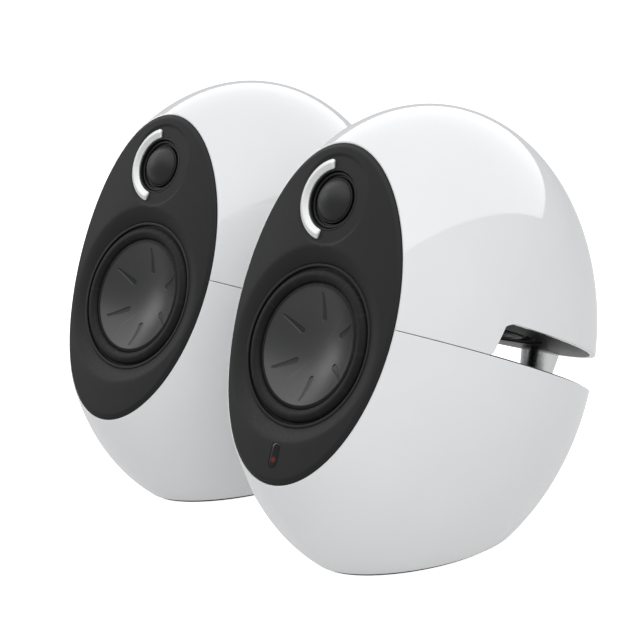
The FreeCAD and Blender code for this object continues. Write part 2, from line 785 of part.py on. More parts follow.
def radiator(side, which):
    """A passive radiator: a stiff disc in a rubber ring, facing into the slot."""
    face = CEILING if which == "upper" else FLOOR
    into = 1 if which == "upper" else -1      # from the slot into the housing
    middle = "((radiator_radius + edge_gap + radiator_hole) / 2)"
    rubber = []
    for grow in ("0", "-rubber_wall"):
        rubber.append(make("Part::Torus", which + "_tube", Radius1=middle,
                           Radius2=f"radiator_roll + ({grow})"))
    half = above(which + "_half", "0") if which == "lower" else below(which + "_half", "0")
    roll = common(which + "_roll", cut(which + "_shell", *rubber), half)
    top = "0" if which == "upper" else "-rubber_wall"
    edges = []
    for inner, outer in (("radiator_radius + edge_gap", f"{middle} - radiator_roll + rubber_wall"),
                         (f"{middle} + radiator_roll - rubber_wall", "radiator_flange")):
        edges.append(turned(which + "_edge", [
            (inner, top), (outer, top), (outer, f"{top} + rubber_wall"),
            (inner, f"{top} + rubber_wall")], "XZ_Plane"))
    up = f"{face} + {into} * (radiator_sunk - rubber_wall)"
    seat(fuse(which + "_surround", roll, *edges), which + "_radiator_surround", side,
         back="radiator_back", up=up)
    disc = turned(which + "_disc", [
        ("0", "0"), ("radiator_radius", "0"),
        ("radiator_radius", f"{into} * radiator_plate"),
        ("radiator_radius / 2", f"{into} * radiator_plate"),
        ("radiator_radius / 2", f"{into} * (radiator_plate + radiator_mass)"),
        ("0", f"{into} * (radiator_plate + radiator_mass)"),
    ], "XZ_Plane")
    seat(disc, which + "_radiator_plate", side, back="radiator_back", up=up)


def pillar(side):
    column = make("Part::Cone", "pillar", Radius1="pillar_foot_radius",
                  Radius2="pillar_top_radius", Height="notch_height - deck_proud")
    seat(column, "pillar", side, back="pillar_back", up=FLOOR)


# ---- electronics --------------------------------------------------------------------


def board(side):
    """A circuit board on the lower housing's posts, with its tall components."""
    plate = box("board_plate", "-board_width / 2", "board_back - board_depth / 2", "-board_drop",
                "board_width", "board_depth", "board_wall")
    top = "-board_drop + board_wall - solder"
    items = [plate]
    if side == "right":
        label = "amplifier_board"
        first = "board_back - sink_pitch * 5"
        for k in range(7):
            items.append(box("heat_sink_fin", "-sink_left", f"{first} + sink_pitch * {k}",
                             f"{top} + sink_base - overlap * 2", "sink_length", "sink_fin",
                             "sink_height"))
        items.append(box("heat_sink_base", "-sink_left", first, top, "sink_length",
                         "sink_pitch * 6 + sink_fin", "sink_base"))
        for x, y in ((2, -10 / 3), (2, 2 / 3), (11 / 3, 10 / 3)):
            items.append(post("capacitor", "capacitor_radius", f"capacitor_radius * {x}",
                              f"board_back + capacitor_radius * ({y})", top, "capacitor_height"))
    else:
        label = "crossover_board"
        items.append(post("choke", "choke_radius", "-choke_left", "board_back - choke_ahead", top,
                          "film_height"))
        for y in (-4 / 3, 10 / 9):
            items.append(box("film_capacitor", "film_length / 3", f"board_back + film_width * ({y})",
                             top, "film_length", "film_width", "film_height"))
    seat(fuse("board", *items), label, side, level=True)


def window_and_lamp(side):
    face = "-front_ahead - panel_proud"
    seat(pill("ir_window", "0", face, "window_length"), "ir_window", side)
    lamp = ring("power_lamp", "0", "lamp_radius", f"{face} + window_length",
                f"{face} + window_length + lamp_length")
    seat(lamp, "power_lamp", side, up="-window_down - lamp_down")


for side in ("right", "left"):
    upper_shell(side)
    lower_shell(side)
    foot_pad(side)
    front_panel(side)
    woofer_basket(side)
    woofer_screws(side)
    woofer_surround(side)
    woofer_cone(side)
    woofer_coil(side)
    woofer_spider(side)
    woofer_motor(side)
    tweeter(side)
    tweeter_trim(side)
    decks(side)
    radiator(side, "upper")
    radiator(side, "lower")
    pillar(side)
    board(side)
socket("right", "audio_jack", -1, "jack_bore", "12")
socket("right", "link_socket", 0, "3.6", "9")
socket("right", "power_inlet", 1, "3.2", "10")
socket("left", "link_socket", 0, "3.6", "9")
window_and_lamp("right")
doc.recompute()

for thing in doc.Objects:
    broken = [word for word in thing.State if word in ("Invalid", "Error")]
    if broken:
        raise SystemExit(f"{thing.Name} ({thing.Label}) is {broken}")
for thing in parts:
    if thing.Shape.isNull() or not thing.Shape.isValid():
        raise SystemExit(f"{thing.Label} has no valid shape")
    print(f"{thing.Label:30s} solids {len(thing.Shape.Solids)} volume {thing.Shape.Volume:10.1f}")

low = min(thing.Shape.optimalBoundingBox().YMin for thing in parts)
high = max(thing.Shape.optimalBoundingBox().YMax for thing in parts)
print("depth from", low, "to", high)

for thing in parts:
    thing.Shape.exportStep(f"parts/{thing.Label}.step")
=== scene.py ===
import json
import math

import bpy
import numpy as np
from mathutils import Euler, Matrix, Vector
from mathutils.geometry import delaunay_2d_cdt


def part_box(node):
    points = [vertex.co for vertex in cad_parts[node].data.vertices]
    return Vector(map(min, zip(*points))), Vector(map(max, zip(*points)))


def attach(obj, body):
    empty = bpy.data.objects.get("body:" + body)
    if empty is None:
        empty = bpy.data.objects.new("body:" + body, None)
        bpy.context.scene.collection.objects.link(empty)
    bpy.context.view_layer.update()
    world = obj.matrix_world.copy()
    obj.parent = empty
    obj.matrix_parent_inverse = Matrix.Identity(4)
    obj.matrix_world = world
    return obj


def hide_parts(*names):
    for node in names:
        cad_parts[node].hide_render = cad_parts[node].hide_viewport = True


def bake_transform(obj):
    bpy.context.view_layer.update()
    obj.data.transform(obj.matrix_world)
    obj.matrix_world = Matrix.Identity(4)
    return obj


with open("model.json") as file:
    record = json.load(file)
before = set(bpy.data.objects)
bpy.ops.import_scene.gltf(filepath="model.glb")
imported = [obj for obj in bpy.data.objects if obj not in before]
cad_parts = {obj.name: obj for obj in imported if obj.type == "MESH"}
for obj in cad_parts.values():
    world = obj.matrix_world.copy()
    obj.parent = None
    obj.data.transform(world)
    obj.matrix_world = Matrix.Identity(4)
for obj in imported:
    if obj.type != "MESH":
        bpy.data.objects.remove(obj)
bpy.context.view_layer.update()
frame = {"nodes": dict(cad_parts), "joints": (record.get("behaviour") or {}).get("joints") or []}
sides = ("right", "left")

# Each speaker is modelled in millimetres in its own leaning frame: x to the listener's
# right, y back along the woofer's axis, z up along the front panel.
strokeAxis = next(j for j in frame["joints"] if j["name"] == "right_woofer_stroke")["axis"]
lean = math.asin(abs(Vector(strokeAxis).normalized().z))
leanAxes = np.array([[1, 0, 0],
                     [0, math.cos(lean), -math.sin(lean)],
                     [0, math.sin(lean), math.cos(lean)]])


def wooferCentre(side):
    low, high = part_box(side + "_woofer_cone")
    reach = (high.x - low.x) / 2
    return np.array([(low.x + high.x) / 2,
                     low.y + reach * math.sin(lean),
                     high.z - reach * math.cos(lean)])


centres = {side: wooferCentre(side) for side in sides}


def toRow(points, side):
    return np.asarray(points, float) @ leanAxes * 0.001 + centres[side]


def placed(name, data):
    made = bpy.data.objects.new(name, data)
    bpy.context.scene.collection.objects.link(made)
    return made


# camera, floor and light

view = dict(place=(0.8749, -0.8714, 0.3547), turn=(78.315, 2.456, 44.801), lens=137.4)
camera = placed("camera", bpy.data.cameras.new("camera"))
camera.location = view["place"]
camera.rotation_euler = Euler([math.radians(angle) for angle in view["turn"]])
camera.data.lens = view["lens"]
bpy.context.scene.camera = camera
bpy.context.scene.view_settings.view_transform = "Standard"
print("camera placed")


def link(tree, a, b):
    tree.links.new(a, b)


def wire(tree, *rows):
    for start, leaving, end, entering in rows:
        link(tree, start.outputs[leaving], end.inputs[entering])


def setInputs(node, **values):
    for name, value in values.items():
        node.inputs[name.replace("_", " ")].default_value = value
    return node


floorLook = dict(radius=9.0, corners=64, seen=0.93, lit=0.40, glowSeen=0.75, glowLit=0.42)
floorMesh = bpy.data.meshes.new("floor")
turns = [k * math.tau / floorLook["corners"] for k in range(floorLook["corners"])]
floorMesh.from_pydata([(floorLook["radius"] * math.cos(turn),
                        floorLook["radius"] * math.sin(turn), 0) for turn in turns],
                      [], [list(range(floorLook["corners"]))])
floor = placed("floor", floorMesh)


def paleFloor():
    # white to the eye, dimmer as a light on the underside of the housings
    paint = bpy.data.materials.new("paleFloor")
    paint.use_nodes = True
    tree = paint.node_tree
    shader = tree.nodes["Principled BSDF"]
    path = tree.nodes.new("ShaderNodeLightPath")
    for low, high, name in (("lit", "seen", "Base Color"),
                            ("glowLit", "glowSeen", "Emission Strength")):
        between = tree.nodes.new("ShaderNodeMapRange")
        setInputs(between, To_Min=floorLook[low], To_Max=floorLook[high])
        wire(tree, (path, "Is Camera Ray", between, "Value"), (between, "Result", shader, name))
    setInputs(shader, Roughness=0.9, Specular_IOR_Level=0.0, Emission_Color=(1, 1, 1, 1))
    return paint


floor.data.materials.append(paleFloor())

room = bpy.data.worlds.new("room")
bpy.context.scene.world = room
room.use_nodes = True
setInputs(room.node_tree.nodes["Background"], Color=(0.97, 0.985, 1, 1), Strength=0.64)

softBoxes = [
    dict(name="overhead", place=(-0.22, 1.85, 1.25), aim=(-0.22, 1.85, 0), size=(3.95, 6.3),
         power=112, mirrored=True, lights=False),
    dict(name="key", place=(0.90, -0.60, 1.10), aim=(0.05, 0, 0.12), size=(1.5, 1.5), power=11,
         mirrored=False, lights=True),
    dict(name="leftFill", place=(-1.60, -0.75, 0.75), aim=(0, -0.08, 0.12), size=(0.7, 0.7),
         power=4.5, mirrored=True, lights=True),
]
for lamp in softBoxes:
    data = bpy.data.lights.new(lamp["name"], "AREA")
    data.shape = "RECTANGLE"
    data.size, data.size_y = lamp["size"]
    data.energy = lamp["power"]
    light = placed(lamp["name"], data)
    light.location = lamp["place"]
    light.visible_glossy = lamp["mirrored"]
    light.visible_diffuse = lamp["lights"]
    aim = Vector(lamp["aim"]) - light.location
    light.rotation_euler = aim.to_track_quat("-Z", "Y").to_euler()
print("stage and lights placed")


# shader groups

def newGroup(name, inputs, outputs):
    group = bpy.data.node_groups.new(name, "ShaderNodeTree")
    for socket, kind, value in inputs:
        item = group.interface.new_socket(socket, in_out="INPUT", socket_type=kind)
        if value is not None:
            item.default_value = value
    for socket in outputs:
        group.interface.new_socket(socket, in_out="OUTPUT", socket_type="NodeSocketFloat")
    return group, group.nodes.new("NodeGroupInput"), group.nodes.new("NodeGroupOutput")


def mathNode(tree, operation, a, b=None, clamp=False):
    node = tree.nodes.new("ShaderNodeMath")
    node.operation = operation
    node.use_clamp = clamp
    for socket, value in zip(node.inputs, (a, b)):
        if isinstance(value, (int, float)):
            socket.default_value = value
        elif value is not None:
            link(tree, value, socket)
    return node.outputs[0]


def noiseNode(tree, vector, scale, detail, roughness=0.5):
    node = tree.nodes.new("ShaderNodeTexNoise")
    setInputs(node, Detail=detail, Roughness=roughness)
    link(tree, vector, node.inputs["Vector"])
    if isinstance(scale, (int, float)):
        setInputs(node, Scale=scale)
    else:
        link(tree, scale, node.inputs["Scale"])
    return node.outputs["Fac"]


vectorKind, floatKind = "NodeSocketVector", "NodeSocketFloat"


def buildGrain():
    group, given, out = newGroup("fineGrain", [("Vector", vectorKind, None),
                                               ("Scale", floatKind, 1500.0),
                                               ("Cloud Scale", floatKind, 25.0)], ["Grain", "Cloud"])
    fine = noiseNode(group, given.outputs["Vector"], given.outputs["Scale"], 3, 0.6)
    cloud = noiseNode(group, given.outputs["Vector"], given.outputs["Cloud Scale"], 4)
    link(group, fine, out.inputs["Grain"])
    link(group, cloud, out.inputs["Cloud"])
    return group


def buildBrushed():
    # long hair lines: noise squeezed along two of the vector's directions
    group, given, out = newGroup("brushedLines", [("Vector", vectorKind, None),
                                                  ("Scale", floatKind, 900.0)], ["Grain", "Cloud"])
    stretch = group.nodes.new("ShaderNodeVectorMath")
    stretch.operation = "MULTIPLY"
    stretch.inputs[1].default_value = (1.0, 1.0, 0.012)
    wire(group, (given, "Vector", stretch, 0))
    lines = noiseNode(group, stretch.outputs[0], given.outputs["Scale"], 2, 0.7)
    broad = noiseNode(group, stretch.outputs[0], 160.0, 2)
    link(group, lines, out.inputs["Grain"])
    link(group, broad, out.inputs["Cloud"])
    return group


def buildWeave():
    group, given, out = newGroup("plainWeave", [("Vector", vectorKind, None),
                                                ("Scale", floatKind, 2200.0)], ["Grain", "Cloud"])
    waves = []
    parts = group.nodes.new("ShaderNodeSeparateXYZ")
    wire(group, (given, "Vector", parts, 0))
    for axis in ("X", "Z"):
        angle = mathNode(group, "MULTIPLY", parts.outputs[axis], given.outputs["Scale"])
        waves.append(mathNode(group, "ABSOLUTE", mathNode(group, "SINE", angle)))
    link(group, mathNode(group, "MULTIPLY", waves[0], waves[1]), out.inputs["Grain"])
    link(group, noiseNode(group, given.outputs["Vector"], 60.0, 3), out.inputs["Cloud"])
    return group


def buildWear():
    # rubbed edges from the mesh's own curvature, and dust on what faces up
    group, given, out = newGroup("wearAndDust", [("Vector", vectorKind, None)], ["Wear", "Dust"])
    shape = group.nodes.new("ShaderNodeNewGeometry")
    patchy = noiseNode(group, given.outputs["Vector"], 140.0, 4)
    raised = mathNode(group, "SUBTRACT", shape.outputs["Pointiness"], 0.53)
    edge = mathNode(group, "MULTIPLY", raised, 9.0, clamp=True)
    link(group, mathNode(group, "MULTIPLY", edge, patchy), out.inputs["Wear"])
    facing = group.nodes.new("ShaderNodeSeparateXYZ")
    wire(group, (shape, "Normal", facing, 0))
    upward = mathNode(group, "MULTIPLY", facing.outputs["Z"], 1.0, clamp=True)
    specks = noiseNode(group, given.outputs["Vector"], 700.0, 5, 0.7)
    settled = mathNode(group, "MULTIPLY", upward, specks)
    link(group, mathNode(group, "POWER", settled, 3.0), out.inputs["Dust"])
    return group


patterns = {"grain": buildGrain(), "brushed": buildBrushed(), "weave": buildWeave()}
wearGroup = buildWear()


def mixColors(tree, share, a, b):
    node = tree.nodes.new("ShaderNodeMix")
    node.data_type = "RGBA"
    for socket, value in ((node.inputs[0], share), (node.inputs[6], a), (node.inputs[7], b)):
        if isinstance(value, (tuple, float)):
            socket.default_value = value
        else:
            link(tree, value, socket)
    return node.outputs[2]


def grey(value, warm=0.0):
    return (value * (1 + warm), value, value * (1 - warm), 1.0)


materials = {}


def newFinish(name, dark, light, rough, pattern="grain", scale=1500.0, relief=0.02,
              wear=0.3, dust=0.15, **sockets):
    paint = bpy.data.materials.new(name)
    paint.use_nodes = True
    tree = paint.node_tree
    shader = tree.nodes["Principled BSDF"]
    place = tree.nodes.new("ShaderNodeTexCoord")
    mapping = tree.nodes.new("ShaderNodeMapping")
    mapping.inputs["Rotation"].default_value = (lean, 0, 0)
    wire(tree, (place, "Object", mapping, "Vector"))
    surface = tree.nodes.new("ShaderNodeGroup")
    surface.node_tree = patterns[pattern]
    surface.inputs["Scale"].default_value = scale
    wire(tree, (mapping, 0, surface, "Vector"))
    worn = tree.nodes.new("ShaderNodeGroup")
    worn.node_tree = wearGroup
    wire(tree, (mapping, 0, worn, "Vector"))
    base = mixColors(tree, surface.outputs["Cloud"], dark, light)
    base = mixColors(tree, mathNode(tree, "MULTIPLY", worn.outputs["Wear"], wear), base,
                     tuple(min(1, c * 1.5 + 0.04) for c in light[:3]) + (1.0,))
    base = mixColors(tree, mathNode(tree, "MULTIPLY", worn.outputs["Dust"], dust), base,
                     (0.55, 0.53, 0.50, 1.0))
    link(tree, base, shader.inputs["Base Color"])
    spread = tree.nodes.new("ShaderNodeMapRange")
    setInputs(spread, To_Min=rough[0], To_Max=rough[1])
    wire(tree, (surface, "Grain", spread, "Value"), (spread, "Result", shader, "Roughness"))
    bump = tree.nodes.new("ShaderNodeBump")
    setInputs(bump, Strength=1.0, Distance=relief * 0.001)
    wire(tree, (surface, "Grain", bump, "Height"), (bump, "Normal", shader, "Normal"))
    setInputs(shader, **sockets)
    materials[name] = paint
    return paint


newFinish("whiteGloss", grey(0.70, -0.006), grey(0.74, -0.006), (0.04, 0.07), scale=260.0,
          relief=0.0015, wear=0.1, dust=0.0, Coat_Weight=0.4, Coat_Roughness=0.02)
newFinish("panelBlack", grey(0.0125), grey(0.0150), (0.48, 0.62), scale=3800.0, relief=0.012,
          Specular_IOR_Level=0.15)
newFinish("mouldedBlack", grey(0.005), grey(0.008), (0.38, 0.55), scale=3000.0, relief=0.012,
          Specular_IOR_Level=0.20)
newFinish("deckBlack", grey(0.022), grey(0.030), (0.34, 0.48), scale=2800.0, relief=0.012)
newFinish("rollRubber", grey(0.003), grey(0.005), (0.50, 0.64), scale=3000.0, relief=0.010,
          Specular_IOR_Level=0.17)
newFinish("footRubber", grey(0.020), grey(0.034), (0.72, 0.86), scale=2600.0, relief=0.030)
newFinish("coneGrey", grey(0.036), grey(0.044), (0.32, 0.42), scale=4200.0, relief=0.008,
          Metallic=0.45)
newFinish("domeSilk", grey(0.012), grey(0.018), (0.40, 0.54), "weave", 9000.0, relief=0.010,
          Specular_IOR_Level=0.24)
newFinish("spiderCloth", (0.30, 0.20, 0.08, 1), (0.42, 0.30, 0.14, 1), (0.75, 0.9), "weave",
          5200.0, 0.08)
newFinish("coilCopper", (0.60, 0.24, 0.10, 1), (0.72, 0.33, 0.16, 1), (0.25, 0.42), scale=5000.0,
          Metallic=1.0)
newFinish("zincSteel", grey(0.42), grey(0.56), (0.28, 0.46), scale=900.0, Metallic=1.0)
newFinish("magnetFerrite", grey(0.030), grey(0.055), (0.62, 0.85), scale=1800.0, relief=0.05)
newFinish("trimSilver", grey(0.60), grey(0.68), (0.42, 0.56), "brushed", 2600.0, 0.002,
          Metallic=0.55)
newFinish("pillarMetal", grey(0.66), grey(0.78), (0.22, 0.32), "brushed", 2600.0, 0.0008, wear=0.0,
          dust=0.0, Metallic=1.0)
newFinish("radiatorBlack", grey(0.020), grey(0.028), (0.36, 0.50), scale=2600.0, relief=0.014)
newFinish("boardGreen", (0.01, 0.10, 0.03, 1), (0.02, 0.16, 0.05, 1), (0.30, 0.50), scale=1800.0)
newFinish("socketBlack", grey(0.016), grey(0.026), (0.34, 0.48), scale=3000.0)
newFinish("windowGloss", grey(0.004), grey(0.006), (0.06, 0.10), scale=900.0, relief=0.001,
          Specular_IOR_Level=0.25)
newFinish("lampRed", (0.5, 0.02, 0.01, 1), (0.7, 0.04, 0.02, 1), (0.2, 0.3))
print("materials built")

# mesh tools

def slotOf(material):
    return "".join("_" + letter.lower() if letter.isupper() else letter for letter in material)


def outward(mesh):
    if volumeOf(mesh) < 0:
        mesh.flip_normals()


def crisp(mesh, degrees):
    mesh.shade_smooth()
    mesh.set_sharp_from_angle(angle=math.radians(degrees))


def addPiece(side, name, built, material, body="cabinet", hides=None, sharp=35.0):
    points, faces = built
    mesh = bpy.data.meshes.new(side + name)
    mesh.from_pydata(toRow(points, side).tolist(), [], [list(map(int, f)) for f in faces])
    mesh.materials.append(materials[material])
    outward(mesh)
    crisp(mesh, sharp)
    mesh.validate()
    piece = placed(side + name, mesh)
    if body:
        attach(piece, side + "_" + body)
    slotOf(material)
    if hides:
        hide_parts(side + "_" + hides)
    return piece


def volumeOf(mesh):
    mesh.calc_loop_triangles()
    count = len(mesh.loop_triangles)
    corner = np.zeros(count * 3, np.int32)
    mesh.loop_triangles.foreach_get("vertices", corner)
    spot = np.zeros(len(mesh.vertices) * 3, np.float32)
    mesh.vertices.foreach_get("co", spot)
    a, b, c = spot.reshape(-1, 3)[corner].reshape(-1, 3, 3).transpose(1, 0, 2).astype(float)
    return float(np.einsum("ij,ij->i", a, np.cross(b, c)).sum()) / 6


def lattice(rows, closeRows=False):
    # rows of points round a loop; a row of one point is a pole
    points, starts = [], []
    for row in rows:
        starts.append(len(points))
        points.extend(np.atleast_2d(row))
    faces = []
    pairs = list(zip(range(len(rows)), range(1, len(rows))))
    if closeRows:
        pairs.append((len(rows) - 1, 0))
    for a, b in pairs:
        na, nb = len(np.atleast_2d(rows[a])), len(np.atleast_2d(rows[b]))
        sa, sb = starts[a], starts[b]
        for k in range(max(na, nb)):
            m = (k + 1) % max(na, nb)
            if na == 1:
                faces.append((sa, sb + m, sb + k))
            elif nb == 1:
                faces.append((sa + k, sa + m, sb))
            else:
                faces.append((sa + k, sa + m, sb + m, sb + k))
    return np.array(points), faces


def unit(v):
    return v / np.maximum(np.linalg.norm(v, axis=-1, keepdims=True), 1e-12)


def softened(corners, radii, steps=5, closed=False):
    # rounds a polyline's corners; each corner may be one point or a row of points
    corners = [np.asarray(c, float) for c in corners]
    made = []
    for i, corner in enumerate(corners):
        radius = radii[i]
        ends = not closed and i in (0, len(corners) - 1)
        if ends or (np.isscalar(radius) and radius == 0):
            made.append(corner)
            continue
        a, b = corners[i - 1] - corner, corners[(i + 1) % len(corners)] - corner
        la, lb = (np.linalg.norm(v, axis=-1, keepdims=True) for v in (a, b))
        a, b = unit(a), unit(b)
        half = np.arccos(np.clip((a * b).sum(-1, keepdims=True), -0.9999, 0.9999)) / 2
        radius = np.asarray(radius, float)
        radius = radius[:, None] if radius.ndim else radius
        reach = np.minimum(radius / np.tan(half), 0.47 * np.minimum(la, lb))
        radius = reach * np.tan(half)
        middle = corner + unit(a + b) * radius / np.sin(half)
        start, stop = corner + a * reach - middle, corner + b * reach - middle
        for k in range(steps + 1):
            share = k / steps
            spot = unit(start * (1 - share) + stop * share)
            made.append(middle + spot * radius)
    return made


def spun(profile, radii, count, centre=(0, 0, 0), axis="y", steps=5, closed=False):
    # a turned shape from (radius, along) corners; a corner at radius 0 is a pole
    line = softened(profile, radii, steps, closed)
    turns = np.arange(count) * math.tau / count
    rows = []
    for radius, along in line:
        if radius < 1e-6:
            rows.append(np.array([[0, along, 0] if axis == "y" else [0, 0, along]]) + centre)
            continue
        x, z = radius * np.cos(turns), radius * np.sin(turns)
        level = np.full(count, along)
        rows.append(np.stack([x, level, z] if axis == "y" else [x, z, level], 1) + centre)
    return lattice(rows, closed)


# egg-shaped housings

egg = dict(halfWidth=70.5, halfDepth=108.5, halfHeight=118.0, back=73.7, up=14.7, wall=3.0,
           baseDrop=112.0, baseToCut=132.0, floorWall=4.0, seamUp=13.5, seamGap=0.3,
           rimSoft=0.45, seamSoft=0.35, slotSoft=0.8)
opening = dict(ahead=4.0, radius=320.0, lip=0.9, seat=2.5)
slot = dict(front=49.6, height=17.0, corner=13.0)
eggHalf = np.array([egg["halfWidth"], egg["halfDepth"], egg["halfHeight"]])
eggMiddle = np.array([0, egg["back"], egg["up"]])
leanDown = np.array([0, math.sin(lean), -math.cos(lean)])


def skinAt(direction, inset=0.0):
    return eggMiddle + unit(direction) * (eggHalf - inset)


def directionOf(points, inset=0.0):
    return unit((points - eggMiddle) / (eggHalf - inset))


def skinNormal(points):
    return unit((points - eggMiddle) / eggHalf ** 2)


def sideWidth(y, z):
    taken = ((y - egg["back"]) / egg["halfDepth"]) ** 2
    share = 1 - taken - ((z - egg["up"]) / egg["halfHeight"]) ** 2
    return egg["halfWidth"] * math.sqrt(max(share, 0.0))


def backReach(z):
    # how far back the skin's middle line reaches at one height
    return egg["back"] + egg["halfDepth"] * math.sqrt(1 - ((z - egg["up"]) / egg["halfHeight"]) ** 2)


def drumFace(x, grow=0.0):
    return opening["radius"] - opening["ahead"] - np.sqrt((opening["radius"] + grow) ** 2 - x ** 2)


rimHeight = egg["halfHeight"] * math.sqrt(
    1 - ((opening["ahead"] + egg["back"]) / egg["halfDepth"]) ** 2)


def rimPoint(angle):
    z = egg["up"] + rimHeight * math.cos(angle)
    y = -opening["ahead"]
    for _ in range(40):
        x = sideWidth(y, z)
        y = float(drumFace(x))
    return [x, y, z]


def rimAngle(z):
    return math.acos((z - egg["up"]) / rimHeight)


def halfLoop(upper):
    # from the front's middle round the listener's right side to the middle of the back
    if upper:
        seam = egg["seamUp"] + egg["seamGap"] / 2
        stop = rimAngle(seam)
        spots = [(rimPoint(stop * k / 100), "rim") for k in range(100)]
        spots += [((sideWidth(y, seam), y, seam), "seam")
                  for y in np.linspace(rimPoint(stop)[1], slot["front"] - 1.0, 34)]
        path = [(slot["front"] - 1 + math.sin(a), seam + 1 - math.cos(a))
                for a in np.linspace(0.2, math.pi / 2, 6)]
        top = egg["seamUp"] + slot["height"]
        path += [(slot["front"], z) for z in np.linspace(seam + 1.6, top - slot["corner"], 4)[:-1]]
        path += [(slot["front"] + slot["corner"] * (1 - math.cos(a)),
                  top - slot["corner"] * (1 - math.sin(a))) for a in np.linspace(0, math.pi / 2, 17)]
        reach = backReach(top)
        path += [(egg["back"] + (reach - egg["back"]) * math.sin(a), top) for a in
                 np.linspace(math.asin((slot["front"] + slot["corner"] - egg["back"]) /
                                       (reach - egg["back"])), math.pi / 2, 96)[1:]]
        spots += [((sideWidth(y, z), y, z), "slot") for y, z in path]
    else:
        seam = egg["seamUp"] - egg["seamGap"] / 2
        start = rimAngle(seam)
        spots = [(rimPoint(math.pi - (math.pi - start) * k / 100), "rim") for k in range(100)]
        reach = backReach(seam)
        front = rimPoint(start)[1]
        first = math.asin((front - egg["back"]) / (reach - egg["back"]))
        for a in np.linspace(first, math.pi / 2, 150):
            y = egg["back"] + (reach - egg["back"]) * math.sin(a)
            spots.append(((sideWidth(y, seam), y, seam), "seam" if y < slot["front"] else "slot"))
    points = np.array([s[0] for s in spots], float)
    points[0, 0] = 0.0
    points[-1, 0] = 0.0
    return points, [s[1] for s in spots]


def wholeLoop(upper):
    points, kinds = halfLoop(upper)
    mirrored = points[-2:0:-1] * np.array([-1, 1, 1])
    return np.vstack([points, mirrored]), kinds + kinds[-2:0:-1]


def towardsPole(a, b, share):
    # along the great circle from a to b
    angle = np.arccos(np.clip((a * b).sum(-1, keepdims=True), -1, 1))
    return (np.sin((1 - share) * angle) * a + np.sin(share * angle) * b) / np.sin(angle)


def meetInner(start, way, inset):
    # where a line from the cut's edge meets the inner skin
    half = eggHalf - inset
    o, d = (start - eggMiddle) / half, way / half
    a, b, c = (d * d).sum(-1), 2 * (o * d).sum(-1), (o * o).sum(-1) - 1
    root = np.sqrt(np.maximum(b * b - 4 * a * c, 0))
    return start + way * ((-b - root) / (2 * a))[:, None]


